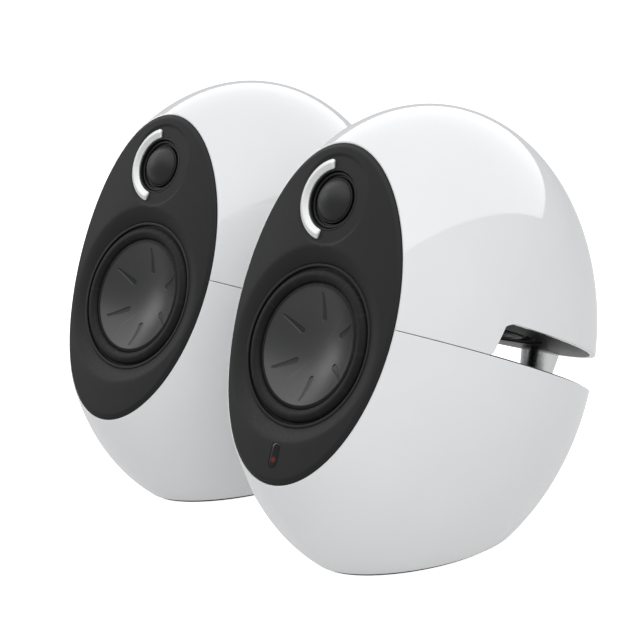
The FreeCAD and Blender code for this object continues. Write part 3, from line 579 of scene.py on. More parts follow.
def shellRows(upper):
    loop, kinds = wholeLoop(upper)
    rim = np.array([k == "rim" for k in kinds])
    seam = np.array([k == "seam" for k in kinds])
    tangent = unit(np.roll(loop, -1, 0) - np.roll(loop, 1, 0))
    normal = skinNormal(loop)
    side = unit(np.cross(normal, tangent))
    pole = unit(np.array([0, 0.35, 0.94]) if upper else leanDown * eggHalf)
    inside = unit(skinAt(pole) - loop)
    side *= np.sign((side * inside).sum(-1, keepdims=True))
    # the wall's own direction: square to the loop in the cutting face
    flatCut = np.stack([loop[:, 0] / opening["radius"], -np.ones(len(loop)), np.zeros(len(loop))], 1)
    cutNormal = np.where(rim[:, None], flatCut, [0, 0, 1.0])
    flat = (~rim) & (np.abs(tangent[:, 2]) > 0.02)
    cutNormal[flat] = unit(np.stack([np.zeros(flat.sum()), -tangent[flat, 2], tangent[flat, 1]], 1))
    way = unit(np.cross(tangent, unit(cutNormal)))
    way *= np.sign((way * (eggMiddle - loop)).sum(-1, keepdims=True))
    soft = np.where(rim, egg["rimSoft"], np.where(seam, egg["seamSoft"], egg["slotSoft"]))
    for _ in range(3):
        soft = (soft + np.roll(soft, 1) + np.roll(soft, -1)) / 3
    start = skinAt(directionOf(loop + side * 3.0))
    inner = meetInner(loop, way, egg["wall"])
    lipEnd = np.where(rim[:, None], loop + way * opening["lip"], loop + (inner - loop) * 0.4)
    lipBack = np.where(rim[:, None], lipEnd + [0, opening["seat"], 0], loop + (inner - loop) * 0.7)
    inner = np.where(rim[:, None], meetInner(lipBack, way, egg["wall"]), inner)
    wallLine = softened([start, loop, lipEnd, lipBack, inner],
                        [0, soft, np.where(rim, 0.3, 0.01), 0.0, 0], 5)
    first = directionOf(wallLine[1])
    skin = []
    if upper:
        skin.append(skinAt(pole)[None, :])
        shares = list(np.linspace(0.0, 1, 66)[1:-1]) + [0.99, 0.996]
        base = np.broadcast_to(pole, first.shape)
    else:
        reach = np.linalg.norm(leanDown * eggHalf)
        angle = math.acos((egg["baseDrop"] - eggMiddle @ leanDown) / reach)
        whole = np.arccos(np.clip(first @ pole, -1, 1))[:, None]
        base = towardsPole(np.broadcast_to(pole, first.shape), first, angle / whole)
        # fine rows by the base's edge and by the cut, even ones between
        shares = [rise / egg["baseToCut"] for rise in (0.0, 0.5, 1.0, 2.5)]
        shares += list(np.linspace(0.05, 1, 60)[:-1]) + [0.992, 0.997]
    for share in shares:
        skin.append(skinAt(towardsPole(base, first, share) if share > 0 else base))
    rows = []
    if not upper:
        ring = skin[1]
        low = skin[0]
        centre = low.mean(0)
        inward = unit(centre - low)
        edge = softened([ring, low, low + inward * 3], [0, 0.6, 0], 4)
        rows = [centre[None, :], low + inward * 6] + edge[::-1][:-1]
        skin = skin[2:]
    rows += skin + wallLine[1:]
    innerFirst = directionOf(inner, egg["wall"])
    if upper:
        for share in np.linspace(1, 0, 14)[1:-1]:
            rows.append(skinAt(towardsPole(np.broadcast_to(pole, first.shape), innerFirst, share),
                               egg["wall"]))
        rows.append(skinAt(pole, egg["wall"])[None, :])
    else:
        half = eggHalf - egg["wall"]
        poleIn = unit(leanDown * half)
        angle = math.acos((egg["baseDrop"] - egg["floorWall"] - eggMiddle @ leanDown) /
                          np.linalg.norm(leanDown * half))
        whole = np.arccos(np.clip(innerFirst @ poleIn, -1, 1))[:, None]
        floorIn = towardsPole(np.broadcast_to(poleIn, first.shape), innerFirst, angle / whole)
        for share in np.linspace(1, 0, 14)[1:]:
            rows.append(skinAt(towardsPole(floorIn, innerFirst, share) if share > 0 else floorIn,
                               egg["wall"]))
        rows.append(rows[-1].mean(0)[None, :])
    return rows


def blockMesh(name, low, high, level, side, bevel=0.0):
    # a box given by its corners, level with the table or square to the lean
    mesh = bpy.data.meshes.new(name)
    corners = np.array([[x, y, z] for x in (low[0], high[0]) for y in (low[1], high[1])
                        for z in (low[2], high[2])], float)
    place = corners * 0.001 + centres[side] if level else toRow(corners, side)
    mesh.from_pydata(place.tolist(), [], [(0, 1, 3, 2), (4, 6, 7, 5), (0, 4, 5, 1), (2, 3, 7, 6),
                                          (0, 2, 6, 4), (1, 5, 7, 3)])
    block = placed(name, mesh)
    if bevel:
        edge = block.modifiers.new("bevel", "BEVEL")
        edge.width = bevel * 0.001
        edge.segments = 4
    return block


def settle(piece):
    # the evaluated mesh takes the place of the piece's own, and its modifiers go
    graph = bpy.context.evaluated_depsgraph_get()
    mesh = bpy.data.meshes.new_from_object(piece.evaluated_get(graph))
    piece.modifiers.clear()
    old = piece.data
    piece.data = mesh
    bpy.data.meshes.remove(old)
    return piece


def carve(piece, tool, operation="DIFFERENCE"):
    step = piece.modifiers.new("carve", "BOOLEAN")
    step.operation = operation
    step.object = tool
    step.solver = "EXACT"
    settle(piece)
    bpy.data.objects.remove(tool)
    return piece


recess = dict(halfWidth=22.0, drop=88.0, height=16.0, back=145.0, reach=60.0, bevel=1.5, pitch=14.0,
              holeRadius=4.6, holeReach=8.0, trayWall=2.2, trayBack=2.4, trayInset=1.6,
              round=96, rows=49)
sockets = {"right": (-1, 0, 1), "left": (0,)}


def carveRecess(shell, side):
    tool = blockMesh("pocket", (-recess["halfWidth"], recess["back"], -recess["drop"]),
                     (recess["halfWidth"], recess["back"] + recess["reach"],
                      recess["height"] - recess["drop"]), True, side, recess["bevel"])
    return carve(shell, tool)


def connectorTray(side):
    tray = blockMesh(side + "ConnectorTray",
                     (-recess["halfWidth"] - recess["trayWall"], recess["back"] - recess["trayBack"],
                      -recess["drop"] - recess["trayWall"]),
                     (recess["halfWidth"] + recess["trayWall"], recess["back"] + recess["reach"],
                      recess["height"] - recess["drop"] + recess["trayWall"]), True, side)
    tray.data.materials.append(materials["whiteGloss"])
    skin = bpy.data.meshes.new("traySkin")
    turns = np.arange(recess["round"]) * math.tau / recess["round"]
    inset = recess["trayInset"]
    rows = [skinAt(np.array([0, 0, 1.0]), inset)[None, :]]
    for a in np.linspace(0, math.pi, recess["rows"])[1:-1]:
        ringDirections = np.stack([math.sin(a) * np.cos(turns), math.sin(a) * np.sin(turns),
                                   np.full(len(turns), math.cos(a))], 1)
        rows.append(skinAt(ringDirections, inset))
    rows.append(skinAt(np.array([0, 0, -1.0]), inset)[None, :])
    points, faces = lattice(rows)
    skin.from_pydata(toRow(points, side).tolist(), [], faces)
    outward(skin)
    carve(tray, placed("traySkin", skin), "INTERSECT")
    carveRecess(tray, side)
    for place in sockets[side]:
        hole = bpy.data.meshes.new("hole")
        middle = recess["height"] / 2 - recess["drop"]
        rows = []
        for y in (recess["back"] - recess["holeReach"], recess["back"] + recess["holeReach"]):
            rows.append(np.stack([place * recess["pitch"] + recess["holeRadius"] * np.cos(turns),
                                  np.full(len(turns), float(y)),
                                  middle + recess["holeRadius"] * np.sin(turns)], 1))
        points, faces = lattice([rows[0].mean(0)[None, :]] + rows + [rows[1].mean(0)[None, :]])
        hole.from_pydata((points * 0.001 + centres[side]).tolist(), [], faces)
        outward(hole)
        carve(tray, placed("hole", hole))
    crisp(tray.data, 30)
    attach(tray, side + "_cabinet")


for side in sides:
    for half in ("upper", "lower"):
        shell = addPiece(side, half.capitalize() + "Shell", lattice(shellRows(half == "upper")),
                         "whiteGloss", None)
        if half == "lower":
            carveRecess(shell, side)
            shell.data.set_sharp_from_angle(angle=math.radians(35))
        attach(shell, side + "_cabinet")
        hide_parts(side + "_" + half + "_shell")
    connectorTray(side)
print("housings built")


# front panel

panel = dict(proud=1.6, gap=1.05, bevelShare=0.034, bevelDrop=1.15, dishOuter=47.0, dishFloor=-0.4,
             wooferHole=39.2, recessRadius=20.8, recessSlope=1.5, recessFace=-4.9, tweeterHole=15.05,
             tweeterUp=68.7, wall=1.3, grid=2.2, slack=0.06)
panelRings = dict(edge=(1.0, 0.994, 0.987, 0.979, 0.972, 0.966, 0.958),
                  woofer=(39.2, 39.7, 40.4, 41.2, 42.2, 43.3, 44.5, 45.6, 46.4, 47.0),
                  tweeter=(15.05, 15.6, 20.3, 20.8, 21.1, 21.5, 21.9, 22.3, 22.9),
                  within=(38.0, 13.8), beyond=1.04, gridEdge=0.945, gridWoofer=48.0,
                  gridTweeter=24.0, gridWindow=1.9)
window = dict(up=-53.0, halfWidth=2.7, halfHeight=6.0, gap=0.15, lampUp=-55.2)
rimShare = rimHeight / egg["halfHeight"]
rimWidth = rimShare / math.sqrt(1 / egg["halfWidth"] ** 2 - (opening["ahead"] + egg["back"]) /
                                (opening["radius"] * egg["halfDepth"] ** 2))
panelWidth, panelHeight = rimWidth - panel["gap"], rimHeight - panel["gap"]


def smooth(value):
    value = np.clip(value, 0, 1)
    return value * value * (3 - 2 * value)


def ovalShare(x, z):
    return np.hypot(x / panelWidth, (z - egg["up"]) / panelHeight)


def panelFace(x, z):
    y = drumFace(x, panel["proud"])
    share = panel["bevelShare"]
    y = y + panel["bevelDrop"] * smooth((ovalShare(x, z) - 1 + share) / share) ** 1.5
    dip = (panel["dishOuter"] - np.hypot(x, z)) / (panel["dishOuter"] - panel["wooferHole"])
    dip = np.clip(dip, 0, 1)
    y = y + (panel["dishFloor"] - y) * dip ** 1.5
    fall = (panel["recessRadius"] + panel["recessSlope"] - np.hypot(x, z - panel["tweeterUp"]))
    fall = smooth(fall / panel["recessSlope"])
    return y + (panel["recessFace"] - y) * fall


def circle(radius, count, z=0.0, width=None):
    turns = np.arange(count) * math.tau / count
    return np.stack([(width or radius) * np.cos(turns), z + radius * np.sin(turns)], 1)


def pillLoop(grow, count=40):
    half = window["halfWidth"] + grow
    straight = window["halfHeight"] - window["halfWidth"]
    loop = []
    for end in (1, -1):
        for a in np.linspace(0, math.pi, count // 2):
            loop.append([end * half * math.cos(a),
                         window["up"] + end * (straight + half * math.sin(a))])
    return np.array(loop)


def pillReach(x, z):
    straight = window["halfHeight"] - window["halfWidth"]
    return np.hypot(x, np.abs(z - window["up"]) - np.minimum(np.abs(z - window["up"]), straight))


def frontPanel(side):
    rings = panelRings
    loops = [circle(panelHeight * e, 320, egg["up"], panelWidth * e) for e in rings["edge"]]
    loops += [circle(r, 256) for r in rings["woofer"]]
    loops += [circle(r, 160, panel["tweeterUp"]) for r in rings["tweeter"]]
    loose = [circle(rings["within"][0], 128), circle(rings["within"][1], 96, panel["tweeterUp"]),
             circle(panelHeight * rings["beyond"], 200, egg["up"], panelWidth * rings["beyond"])]
    step = panel["grid"]
    grid = []
    for j in range(-90, 91):
        for i in range(-40, 41):
            x, z = (i + 0.5 * (j % 2)) * step, j * step * 0.866
            clear = ovalShare(x, z) < rings["gridEdge"] and math.hypot(x, z) > rings["gridWoofer"]
            clear = clear and math.hypot(x, z - panel["tweeterUp"]) > rings["gridTweeter"]
            if side == "right":
                clear = clear and pillReach(x, z) > window["halfWidth"] + rings["gridWindow"]
            if clear:
                grid.append([x, z])
    if side == "right":
        loops += [pillLoop(grow) for grow in (window["gap"], 0.5, 1.1)]
        loose.append(np.stack([np.zeros(5), np.linspace(-3.3, 3.3, 5) + window["up"]], 1))
    flat, edges = [], []
    for loop in loops:
        start = len(flat)
        flat.extend(loop)
        edges += [(start + k, start + (k + 1) % len(loop)) for k in range(len(loop))]
    for loop in loose:
        flat.extend(loop)
    flat.extend(grid)
    spots, _, faces, *_ = delaunay_2d_cdt([Vector(p) for p in flat], edges, [], 0, 1e-5)
    spots = np.array([list(p) for p in spots])
    faces = np.array([f for f in faces if len(f) == 3])
    middle = spots[faces].mean(1)
    keep = (ovalShare(middle[:, 0], middle[:, 1]) < 1.0005)
    keep &= np.hypot(middle[:, 0], middle[:, 1]) > panel["wooferHole"] - panel["slack"]
    fromTweeter = np.hypot(middle[:, 0], middle[:, 1] - panel["tweeterUp"])
    keep &= fromTweeter > panel["tweeterHole"] - panel["slack"]
    if side == "right":
        keep &= pillReach(middle[:, 0], middle[:, 1]) > window["halfWidth"]
    faces = faces[keep]
    used = np.unique(faces)
    renumber = np.zeros(len(spots), int)
    renumber[used] = np.arange(len(used))
    faces, spots = renumber[faces], spots[used]
    front = panelFace(spots[:, 0], spots[:, 1])
    back = np.maximum(front + panel["wall"], drumFace(spots[:, 0], -opening["seat"]) - 0.05)
    points = np.vstack([np.stack([spots[:, 0], front, spots[:, 1]], 1),
                        np.stack([spots[:, 0], back, spots[:, 1]], 1)])
    count = len(spots)
    halves = {}
    for face in faces:
        for k in range(3):
            halves[(int(face[k]), int(face[(k + 1) % 3]))] = True
    walls = [(b, a, a + count, b + count) for a, b in halves if (b, a) not in halves]
    allFaces = [tuple(f) for f in faces] + [tuple(f[::-1] + count) for f in faces] + walls
    addPiece(side, "FrontPanel", (points, allFaces), "panelBlack", hides="front_panel", sharp=50.0)


for side in sides:
    frontPanel(side)
print("front panels built")


# woofer

woofer = dict(radius=29.0, depth=9.5, wall=0.9, rollMiddle=33.43, roll=3.25, rollWall=0.6,
              rollBase=1.2, edgeOuter=37.5, dents=6, dentInner=14.6, dentOuter=25.4,
              dentWide=1.45, dentNarrow=0.55, dentDepth=0.5, dentEdge=0.55)
surround = dict(inner=28.7, frontLap=[(28.3, -0.12), (29.4, -0.05)],
                backLap=[(28.4, 0.28), (29.5, 0.75)], sectors=12, steps=20, bend=(37.0, 29.3))
bowl = (woofer["radius"] ** 2 + woofer["depth"] ** 2) / (2 * woofer["depth"])


def dentShare(x, z):
    most = np.zeros_like(x)
    for k in range(woofer["dents"]):
        turn = math.radians(30 + 60 * k)
        along = x * math.cos(turn) + z * math.sin(turn)
        beside = z * math.cos(turn) - x * math.sin(turn)
        length = woofer["dentOuter"] - woofer["dentInner"]
        share = np.clip((along - woofer["dentInner"]) / length, 0, 1)
        reach = woofer["dentWide"] + (woofer["dentNarrow"] - woofer["dentWide"]) * share
        gap = np.hypot(along - woofer["dentInner"] - share * length, beside) - reach
        most = np.maximum(most, smooth(-gap / woofer["dentEdge"] + 0.35))
    return most


def wooferCone(side):
    count = 540
    turns = np.arange(count) * math.tau / count
    rows = [np.array([[0, woofer["depth"], 0]])]
    shares = [np.zeros(1)]
    for radius in np.concatenate([np.linspace(0.6, 12, 16), np.linspace(12.3, 27.6, 84),
                                  np.linspace(28, woofer["radius"], 4)]):
        x, z = radius * np.cos(turns), radius * np.sin(turns)
        share = dentShare(x, z)
        y = woofer["depth"] - bowl + math.sqrt(bowl ** 2 - radius ** 2)
        rows.append(np.stack([x, y + share * woofer["dentDepth"], z], 1))
        shares.append(share)
    for radius in (woofer["radius"], 24.0, 16.0, 8.0):
        x, z = radius * np.cos(turns), radius * np.sin(turns)
        y = woofer["depth"] - bowl + math.sqrt((bowl + woofer["wall"]) ** 2 - radius ** 2)
        rows.append(np.stack([x, np.full(count, y), z], 1))
        shares.append(np.zeros(count))
    rows.append(np.array([[0, woofer["depth"] + woofer["wall"], 0]]))
    shares.append(np.zeros(1))
    cone = addPiece(side, "WooferCone", lattice(rows), "coneGrey", "woofer", "woofer_cone")
    # the dents' share, carried on to the cone's material for their painted shade
    mark = cone.data.attributes.new("dent", "FLOAT", "POINT")
    mark.data.foreach_set("value", np.concatenate(shares).astype(np.float32))


def ringSectors(side, name, lines, centre, axis, count, steps, look, hides):
    # a rubber or cloth ring cut into sectors, each built as its own piece
    front, back = lines
    for k in range(count):
        turns = np.linspace(k, k + 1, steps + 1) * math.tau / count
        width = len(front)
        points = []
        for turn in turns:
            for radius, along in list(front) + list(back):
                x, w = radius * math.cos(turn), radius * math.sin(turn)
                points.append(np.array([x, along, w] if axis == "y" else [x, w, along]) + centre)
        faces = []
        ring = 2 * width
        for j in range(steps):
            a, b = j * ring, (j + 1) * ring
            for i in range(width - 1):
                faces.append((a + i, a + i + 1, b + i + 1, b + i))
                faces.append((a + width + i + 1, a + width + i, b + width + i, b + width + i + 1))
            i, m = width - 1, ring - 1
            faces += [(a, b, b + width, a + width), (b + i, a + i, a + m, b + m)]
        last = steps * ring
        for i in range(width - 1):
            faces.append((i, width + i, width + i + 1, i + 1))
            faces.append((last + i, last + i + 1, last + width + i + 1, last + width + i))
        sector = addPiece(side, name + str(k + 1), (points, faces), look, None, sharp=60.0)
        turn = (k + 0.5) * math.tau / count
        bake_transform(sector)
        if k == 0:
            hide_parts(side + "_" + hides)


def rollProfile(middle, radius, wall, base, inner, outer, rise):
    # front and back lines of a half-round roll with flat edges; rise is -1 or 1
    angles = np.radians(np.linspace(168, 12, 27))
    front = [(inner, base + rise * wall)]
    front += [(middle + radius * math.cos(a), base + rise * radius * math.sin(a)) for a in angles]
    front += [(outer, base + rise * wall)]
    small = radius - wall
    back = [(inner, base)]
    back += [(middle + small * math.cos(a), base + rise * small * math.sin(a)) for a in angles]
    back += [(outer, base)]
    return front, back


spider = dict(inner=13.4, outer=27.9, rows=40, back=13.25, wave=0.55, pitch=3.6, half=0.2,
              sectors=8, steps=18, bend=(27.9, 13.8))
bezel = dict(line=[(37.55, 1.3), (37.55, -0.7), (39.12, -0.7), (39.12, 2.6), (37.9, 2.6),
                   (37.9, 1.3)],
             radii=[0.1, 0.45, 0.45, 0.1, 0, 0])


def spiderProfile():
    radii = np.linspace(spider["inner"], spider["outer"], spider["rows"])
    turn = (radii - spider["inner"]) * math.tau / spider["pitch"]
    waves = spider["back"] + spider["wave"] * np.sin(turn)
    return [[(r, y + end * spider["half"]) for r, y in zip(radii, waves)] for end in (-1, 1)]


for side in sides:
    wooferCone(side)
    built = spun(bezel["line"], bezel["radii"], 256, closed=True)
    addPiece(side, "WooferBezel", built, "mouldedBlack")
    front, back = rollProfile(woofer["rollMiddle"], woofer["roll"], woofer["rollWall"],
                              woofer["rollBase"], surround["inner"], woofer["edgeOuter"], -1)
    # the inner edge laps over the cone's rim
    lines = (surround["frontLap"] + front[1:], surround["backLap"] + back[1:])
    ringSectors(side, "WooferSurround", lines, np.zeros(3), "y", surround["sectors"],
                surround["steps"], "rollRubber", "woofer_surround")
    ringSectors(side, "WooferSpider", spiderProfile(), np.zeros(3), "y", spider["sectors"],
                spider["steps"], "spiderCloth", "woofer_spider")
print("woofers built")


# tweeter

tweeter = dict(up=68.7, domeRadius=10.9, domeEdge=10.35, rise=6.5, base=-3.0, wall=0.4)
trim = dict(radius=17.35, half=2.4, start=102.0, sweep=156.0, foot=-4.9, rise=1.9, corner=0.95)
faceplate = dict(
    line=[(11.3, 3.0), (11.3, -2.6), (12.3, -2.6), (12.3, -3.9), (13.45, -3.9), (13.45, -2.9),
          (14.0, -2.9), (14.0, -5.0), (14.95, -5.0), (14.95, 4.0), (20.0, 4.0), (20.0, 6.0),
          (10.4, 6.0), (10.4, 4.0)],
    radii=[0.1, 0.15, 0.15, 0.4, 0.4, 0.12, 0.12, 0.3, 0.3, 0.2, 0.3, 0.3, 0.2, 0.2])


def tweeterDome(side):
    ball = (tweeter["domeRadius"] ** 2 + tweeter["rise"] ** 2) / (2 * tweeter["rise"])
    middle = tweeter["base"] - tweeter["rise"] + ball
    edge = math.asin(tweeter["domeEdge"] / ball)
    profile = [(ball * math.sin(a), middle - ball * math.cos(a)) for a in np.linspace(0, edge, 28)]
    lip = [(tweeter["domeEdge"] + 0.27 * (1 - math.cos(a)),
            profile[-1][1] + 0.3 - 0.25 * math.sin(a) + 0.1)
           for a in np.linspace(0.4, math.pi, 7)]
    small = ball - tweeter["wall"]
    inner = [(small * math.sin(a), middle - small * math.cos(a)) for a in np.linspace(edge, 0, 10)]
    line = profile + lip + inner
    built = spun(line, [0] * len(line), 128, (0, 0, tweeter["up"]))
    addPiece(side, "TweeterDome", built, "domeSilk", "tweeter", "tweeter_dome", 70.0)


def tweeterTrim(side):
    # a ridged silver crescent, square at its ends with rounded corners
    half, corner = trim["half"], trim["corner"]
    section = [(-1.0, 0.0), (-1.0, 0.38), (0.15, 1.0), (1.0, 0.50), (1.0, 0.0)]
    line = softened([np.array(p) * [half, trim["rise"]] for p in section],
                    [0, 0.35, 0.9, 0.35, 0], 5)
    length = trim["radius"] * math.radians(trim["sweep"])
    ends = corner * (1 - np.cos(np.linspace(0, math.pi / 2, 9)))
    along = np.concatenate([ends, np.linspace(corner, length - corner, 150)[1:-1],
                            length - ends[::-1]])
    rows = []
    for distance in along:
        fromEnd = min(distance, length - distance)
        squeeze = 1.0
        if fromEnd < corner:
            bend = math.sqrt(max(corner ** 2 - (corner - fromEnd) ** 2, 0))
            squeeze = (half - corner + bend) / half
        lower = min(1.0, 0.35 + 0.65 * math.sqrt(min(fromEnd / corner, 1.0)))
        turn = math.radians(trim["start"]) + distance / trim["radius"]
        row = []
        for across, height in line:
            radius = trim["radius"] + across * squeeze
            row.append([radius * math.cos(turn), trim["foot"] - height * lower,
                        tweeter["up"] + radius * math.sin(turn)])
        rows.append(np.array(row))
    points = np.vstack(rows)
    width = len(line)
    faces = []
    for j in range(len(rows) - 1):
        for i in range(width):
            a, b = j * width + i, j * width + (i + 1) % width
            faces.append((a, b, b + width, a + width))
    faces.append(tuple(range(width))[::-1])
    faces.append(tuple((len(rows) - 1) * width + i for i in range(width)))
    addPiece(side, "TweeterTrim", (points, faces), "trimSilver", hides="tweeter_trim", sharp=45.0)


for side in sides:
    tweeterDome(side)
    addPiece(side, "TweeterFaceplate", spun(faceplate["line"], faceplate["radii"], 192,
                                            (0, 0, tweeter["up"]), closed=True),
             "mouldedBlack", hides="tweeter_faceplate")
    tweeterTrim(side)
print("tweeters built")


# slot between the housings: passive radiators and pillar

radiator = dict(back=105.0, plate=30.0, roll=3.2, middle=33.65, wall=0.6, outer=39.9, thick=2.4,
                boss=15.0, bossRise=3.0, ribs=5, ribFirst=9.0, ribPitch=4.4, ribWidth=0.45,
                lap=0.3, bendIn=2.9, sectors=8, steps=18)
ceilingUp, floorUp = egg["seamUp"] + slot["height"], egg["seamUp"] + 0.6
pillar = dict(back=168.0, foot=8.0, top=9.8, band=1.5)
screw = dict(line=[(0, -7.4), (1.5, -7.4), (1.5, -0.1), (2.8, -0.1), (2.8, 1.2), (0, 1.5)],
             radii=[0, 0.4, 0, 0.1, 0.7, 0], corners=24, seat=6.05, circle=42.2, count=4, start=45)


def geometryTree(name, inputs):
    tree = bpy.data.node_groups.new(name, "GeometryNodeTree")
    tree.interface.new_socket("Geometry", in_out="INPUT", socket_type="NodeSocketGeometry")
    for label, kind in inputs:
        tree.interface.new_socket(label, in_out="INPUT", socket_type="NodeSocket" + kind)
    tree.interface.new_socket("Geometry", in_out="OUTPUT", socket_type="NodeSocketGeometry")
    return tree, tree.nodes.new("NodeGroupInput"), tree.nodes.new("NodeGroupOutput")


def endTree(tree, given, out, geometry):
    realize = tree.nodes.new("GeometryNodeRealizeInstances")
    paint = tree.nodes.new("GeometryNodeSetMaterial")
    link(tree, geometry, realize.inputs[0])
    wire(tree, (realize, 0, paint, "Geometry"), (given, "Material", paint, "Material"),
         (paint, 0, out, "Geometry"))


def ribTree():
    tree, given, out = geometryTree("concentricRibs", [("Count", "Int"), ("First Radius", "Float"),
                                                       ("Pitch", "Float"), ("Width", "Float"),
                                                       ("Material", "Material")])
    spots = tree.nodes.new("GeometryNodeMeshLine")
    setInputs(spots, Offset=(0, 0, 0))
    wire(tree, (given, "Count", spots, "Count"))
    index = tree.nodes.new("GeometryNodeInputIndex")
    radius = mathNode(tree, "MULTIPLY", index.outputs[0], given.outputs["Pitch"])
    radius = mathNode(tree, "ADD", radius, given.outputs["First Radius"])
    loop = tree.nodes.new("GeometryNodeCurvePrimitiveCircle")
    setInputs(loop, Resolution=96, Radius=1.0)
    copies = tree.nodes.new("GeometryNodeInstanceOnPoints")
    wire(tree, (spots, 0, copies, "Points"), (loop, 0, copies, "Instance"))
    link(tree, radius, copies.inputs["Scale"])
    realize = tree.nodes.new("GeometryNodeRealizeInstances")
    wire(tree, (copies, 0, realize, 0))
    section = tree.nodes.new("GeometryNodeCurvePrimitiveCircle")
    setInputs(section, Resolution=10)
    wire(tree, (given, "Width", section, "Radius"))
    sweep = tree.nodes.new("GeometryNodeCurveToMesh")
    wire(tree, (realize, 0, sweep, "Curve"), (section, 0, sweep, "Profile Curve"))
    endTree(tree, given, out, sweep.outputs[0])
    return tree


def ringTree():
    # copies of the piece's own mesh round a circle
    tree, given, out = geometryTree("copiesRoundCircle", [("Count", "Int"), ("Radius", "Float"),
                                                          ("Start", "Float"),
                                                          ("Material", "Material")])
    copies = tree.nodes.new("GeometryNodeInstanceOnPoints")
    wire(tree, (given, "Geometry", copies, "Instance"))
    spots = tree.nodes.new("GeometryNodeMeshCircle")
    wire(tree, (given, "Count", spots, "Vertices"), (given, "Radius", spots, "Radius"))
    turn = tree.nodes.new("GeometryNodeTransform")
    spin = tree.nodes.new("ShaderNodeCombineXYZ")
    wire(tree, (given, "Start", spin, "Z"), (copies, 0, turn, "Geometry"),
         (spin, 0, turn, "Rotation"), (spots, 0, copies, "Points"))
    endTree(tree, given, out, turn.outputs[0])
    return tree


trees = dict(ribs=ribTree(), ring=ringTree())


def grown(side, name, mesh, tree, place, body, material, **values):
    # runs a geometry tree on the mesh and sets its result down in the speaker
    piece = placed(side + name, mesh)
    modifier = piece.modifiers.new("nodes", "NODES")
    modifier.node_group = trees[tree]
    values["Material"] = materials[material]
    for item in trees[tree].interface.items_tree:
        if item.in_out == "INPUT" and item.name in values:
            modifier[item.identifier] = values[item.name]
    settle(piece)
    count = len(piece.data.vertices)
    spots = np.zeros(count * 3, np.float32)
    piece.data.vertices.foreach_get("co", spots)
    spots = toRow(place(spots.reshape(-1, 3).astype(float)), side)
    piece.data.vertices.foreach_set("co", spots.astype(np.float32).ravel())
    piece.data.update()
    outward(piece.data)
    crisp(piece.data, 40)
    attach(piece, side + "_" + body)
    slotOf(material)
    return piece


def radiatorPlate(side, which):
    into = 1 if which == "upper" else -1
    face = (ceilingUp if which == "upper" else floorUp) + into * (1 - radiator["wall"])
    profile = [(0, 0), (radiator["plate"], 0), (radiator["plate"], radiator["thick"]),
               (radiator["boss"], radiator["thick"]),
               (radiator["boss"], radiator["thick"] + radiator["bossRise"]),
               (0, radiator["thick"] + radiator["bossRise"])]
    profile = [(r, face + into * h) for r, h in profile]
    word = which.capitalize()
    body = which + "_radiator"
    addPiece(side, word + "Radiator",
             spun(profile, [0, 0.5, 0.4, 0.3, 0.5, 0], 128, (0, radiator["back"], 0), "z"),
             "radiatorBlack", body, body + "_plate")
    bump = 0.1 * radiator["ribWidth"]
    grown(side, word + "RadiatorRibs", bpy.data.meshes.new("ribs"), "ribs",
          lambda p: p * [1, 1, -0.9] + [0, radiator["back"], face + into * bump], body,
          "radiatorBlack", Count=radiator["ribs"], Width=radiator["ribWidth"],
          Pitch=radiator["ribPitch"], **{"First Radius": radiator["ribFirst"]})
    inner = radiator["plate"] + radiator["lap"]
    lines = rollProfile(radiator["middle"], radiator["roll"], radiator["wall"], face, inner,
                        radiator["outer"], into)
    ringSectors(side, word + "RadiatorSurround", lines, np.array([0, radiator["back"], 0.0]), "z",
                radiator["sectors"], radiator["steps"],
                "rollRubber", body + "_surround")


def pillarPiece(side):
    low, high, band = floorUp, ceilingUp, pillar["band"]
    profile = [(0, low), (pillar["foot"], low), (pillar["foot"], low + band),
               (pillar["top"], high - band), (pillar["top"], high), (0, high)]
    built = spun(profile, [0, 0.2, 2.5, 2.5, 0.2, 0], 160, (0, pillar["back"], 0), "z")
    addPiece(side, "Pillar", built, "pillarMetal", hides="pillar")


def screwMesh():
    # a pan head and its shank along z
    mesh = bpy.data.meshes.new("screw")
    line = softened(screw["line"], screw["radii"], 4)
    turns = np.arange(screw["corners"]) * math.tau / screw["corners"]
    rows = []
    for radius, along in line:
        level = np.full(screw["corners"], along)
        spot = np.stack([radius * np.cos(turns), radius * np.sin(turns), level], 1)
        rows.append(spot[:1] * [0, 0, 1] if radius < 1e-6 else spot)
    points, faces = lattice(rows)
    mesh.from_pydata(points.tolist(), [], faces)
    return mesh


for side in sides:
    for which in ("upper", "lower"):
        radiatorPlate(side, which)
    pillarPiece(side)
    screws = grown(side, "WooferScrews", screwMesh(), "ring",
                   lambda p: np.stack([p[:, 0], screw["seat"] + p[:, 2], p[:, 1]], 1), "cabinet",
                   "zincSteel", Count=screw["count"], Radius=screw["circle"],
                   Start=math.radians(screw["start"]))
    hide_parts(side + "_woofer_screws")
print("radiators, pillars and screws built")


# infrared window and lamp

windowLine = ((-2.3, -5.62), (-1.2, -5.61), (-0.35, -5.55), (-0.1, -5.40), (0, -5.15), (0, -2.1))
lampGlow = dict(ahead=-5.6, reach=0.0022, color=(1.0, 0.05, 0.03, 1.0), strength=0.14)


def infraredWindow(side):
    rows = []
    for grow, y in windowLine:
        loop = pillLoop(grow)
        rows.append(np.stack([loop[:, 0], np.full(len(loop), y), loop[:, 1]], 1))
    rows = [rows[0].mean(0)[None, :]] + rows + [rows[-1].mean(0)[None, :]]
    addPiece(side, "InfraredWindow", lattice(rows), "windowGloss", hides="ir_window")


infraredWindow("right")


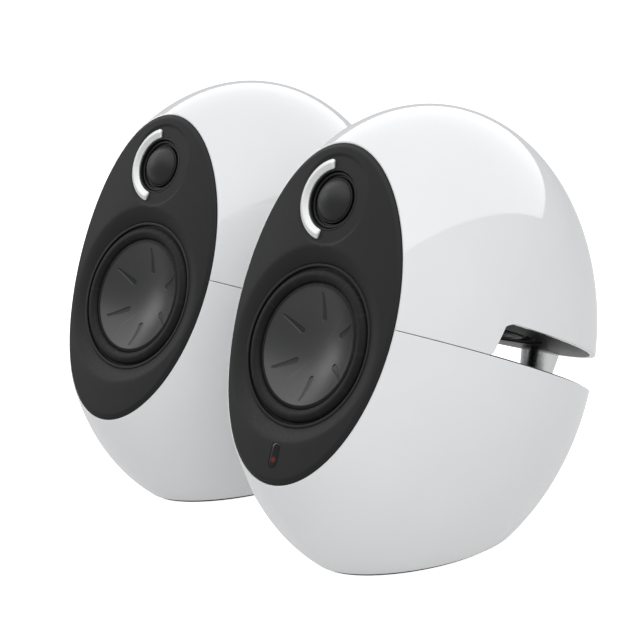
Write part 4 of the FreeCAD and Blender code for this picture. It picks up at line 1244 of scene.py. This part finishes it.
def addGlow(paint, place, reach, color, strength):
    # a soft light seen through the smoked window
    tree = paint.node_tree
    shader = tree.nodes["Principled BSDF"]
    coordinates = tree.nodes.new("ShaderNodeTexCoord")
    offset = tree.nodes.new("ShaderNodeVectorMath")
    offset.operation = "DISTANCE"
    offset.inputs[1].default_value = place
    wire(tree, (coordinates, "Object", offset, 0))
    fade = tree.nodes.new("ShaderNodeMapRange")
    fade.interpolation_type = "SMOOTHERSTEP"
    setInputs(fade, From_Min=0.0, From_Max=reach, To_Min=1.0, To_Max=0.0)
    wire(tree, (offset, "Value", fade, "Value"))
    link(tree, mixColors(tree, fade.outputs["Result"], (0, 0, 0, 1.0), color),
         shader.inputs["Emission Color"])
    setInputs(shader, Emission_Strength=strength)


addGlow(materials["windowGloss"], toRow([0, lampGlow["ahead"], window["lampUp"]], "right"),
        lampGlow["reach"], lampGlow["color"], lampGlow["strength"])


def addPaintedDentShade(paint):
    # painted shade: the engraved dents are darkened in the cone's colour, standing in for the shade
    # that falls inside them
    tree = paint.node_tree
    shader = tree.nodes["Principled BSDF"]
    dent = tree.nodes.new("ShaderNodeAttribute")
    dent.attribute_name = "dent"
    before = shader.inputs["Base Color"].links[0].from_socket
    link(tree, mixColors(tree, mathNode(tree, "MULTIPLY", dent.outputs["Fac"], 0.8), before,
                         (0.012, 0.012, 0.012, 1.0)), shader.inputs["Base Color"])


addPaintedDentShade(materials["coneGrey"])
print("window and marks finished")

looks = dict(foot_pad="footRubber", front_panel="panelBlack", woofer_basket="mouldedBlack",
             woofer_screws="zincSteel", woofer_surround="rollRubber", woofer_spider="spiderCloth",
             woofer_cone="coneGrey", woofer_coil="coilCopper", woofer_top_plate="zincSteel",
             woofer_magnet="magnetFerrite", woofer_yoke="zincSteel",
             tweeter_faceplate="mouldedBlack", tweeter_dome="domeSilk",
             # the tweeter's coil takes moulded black instead of copper: painted shade in the gap
             # between the dome and the faceplate
             tweeter_coil="mouldedBlack", tweeter_magnet="magnetFerrite", tweeter_cup="zincSteel",
             tweeter_trim="trimSilver", upper_deck="deckBlack",
             lower_deck="deckBlack", pillar="pillarMetal", link_socket="socketBlack",
             amplifier_board="boardGreen", audio_jack="socketBlack", power_inlet="socketBlack",
             ir_window="windowGloss", power_lamp="lampRed", crossover_board="boardGreen")
for name, node in frame["nodes"].items():
    word = name.split("_", 1)[1]
    look = looks.get(word) or looks.get(name)
    if "radiator" in word:
        look = "rollRubber" if word.endswith("surround") else "radiatorBlack"
    if "shell" in word:
        look = "whiteGloss"
    node.data.materials.clear()
    node.data.materials.append(materials[look])
print("CAD pieces finished")
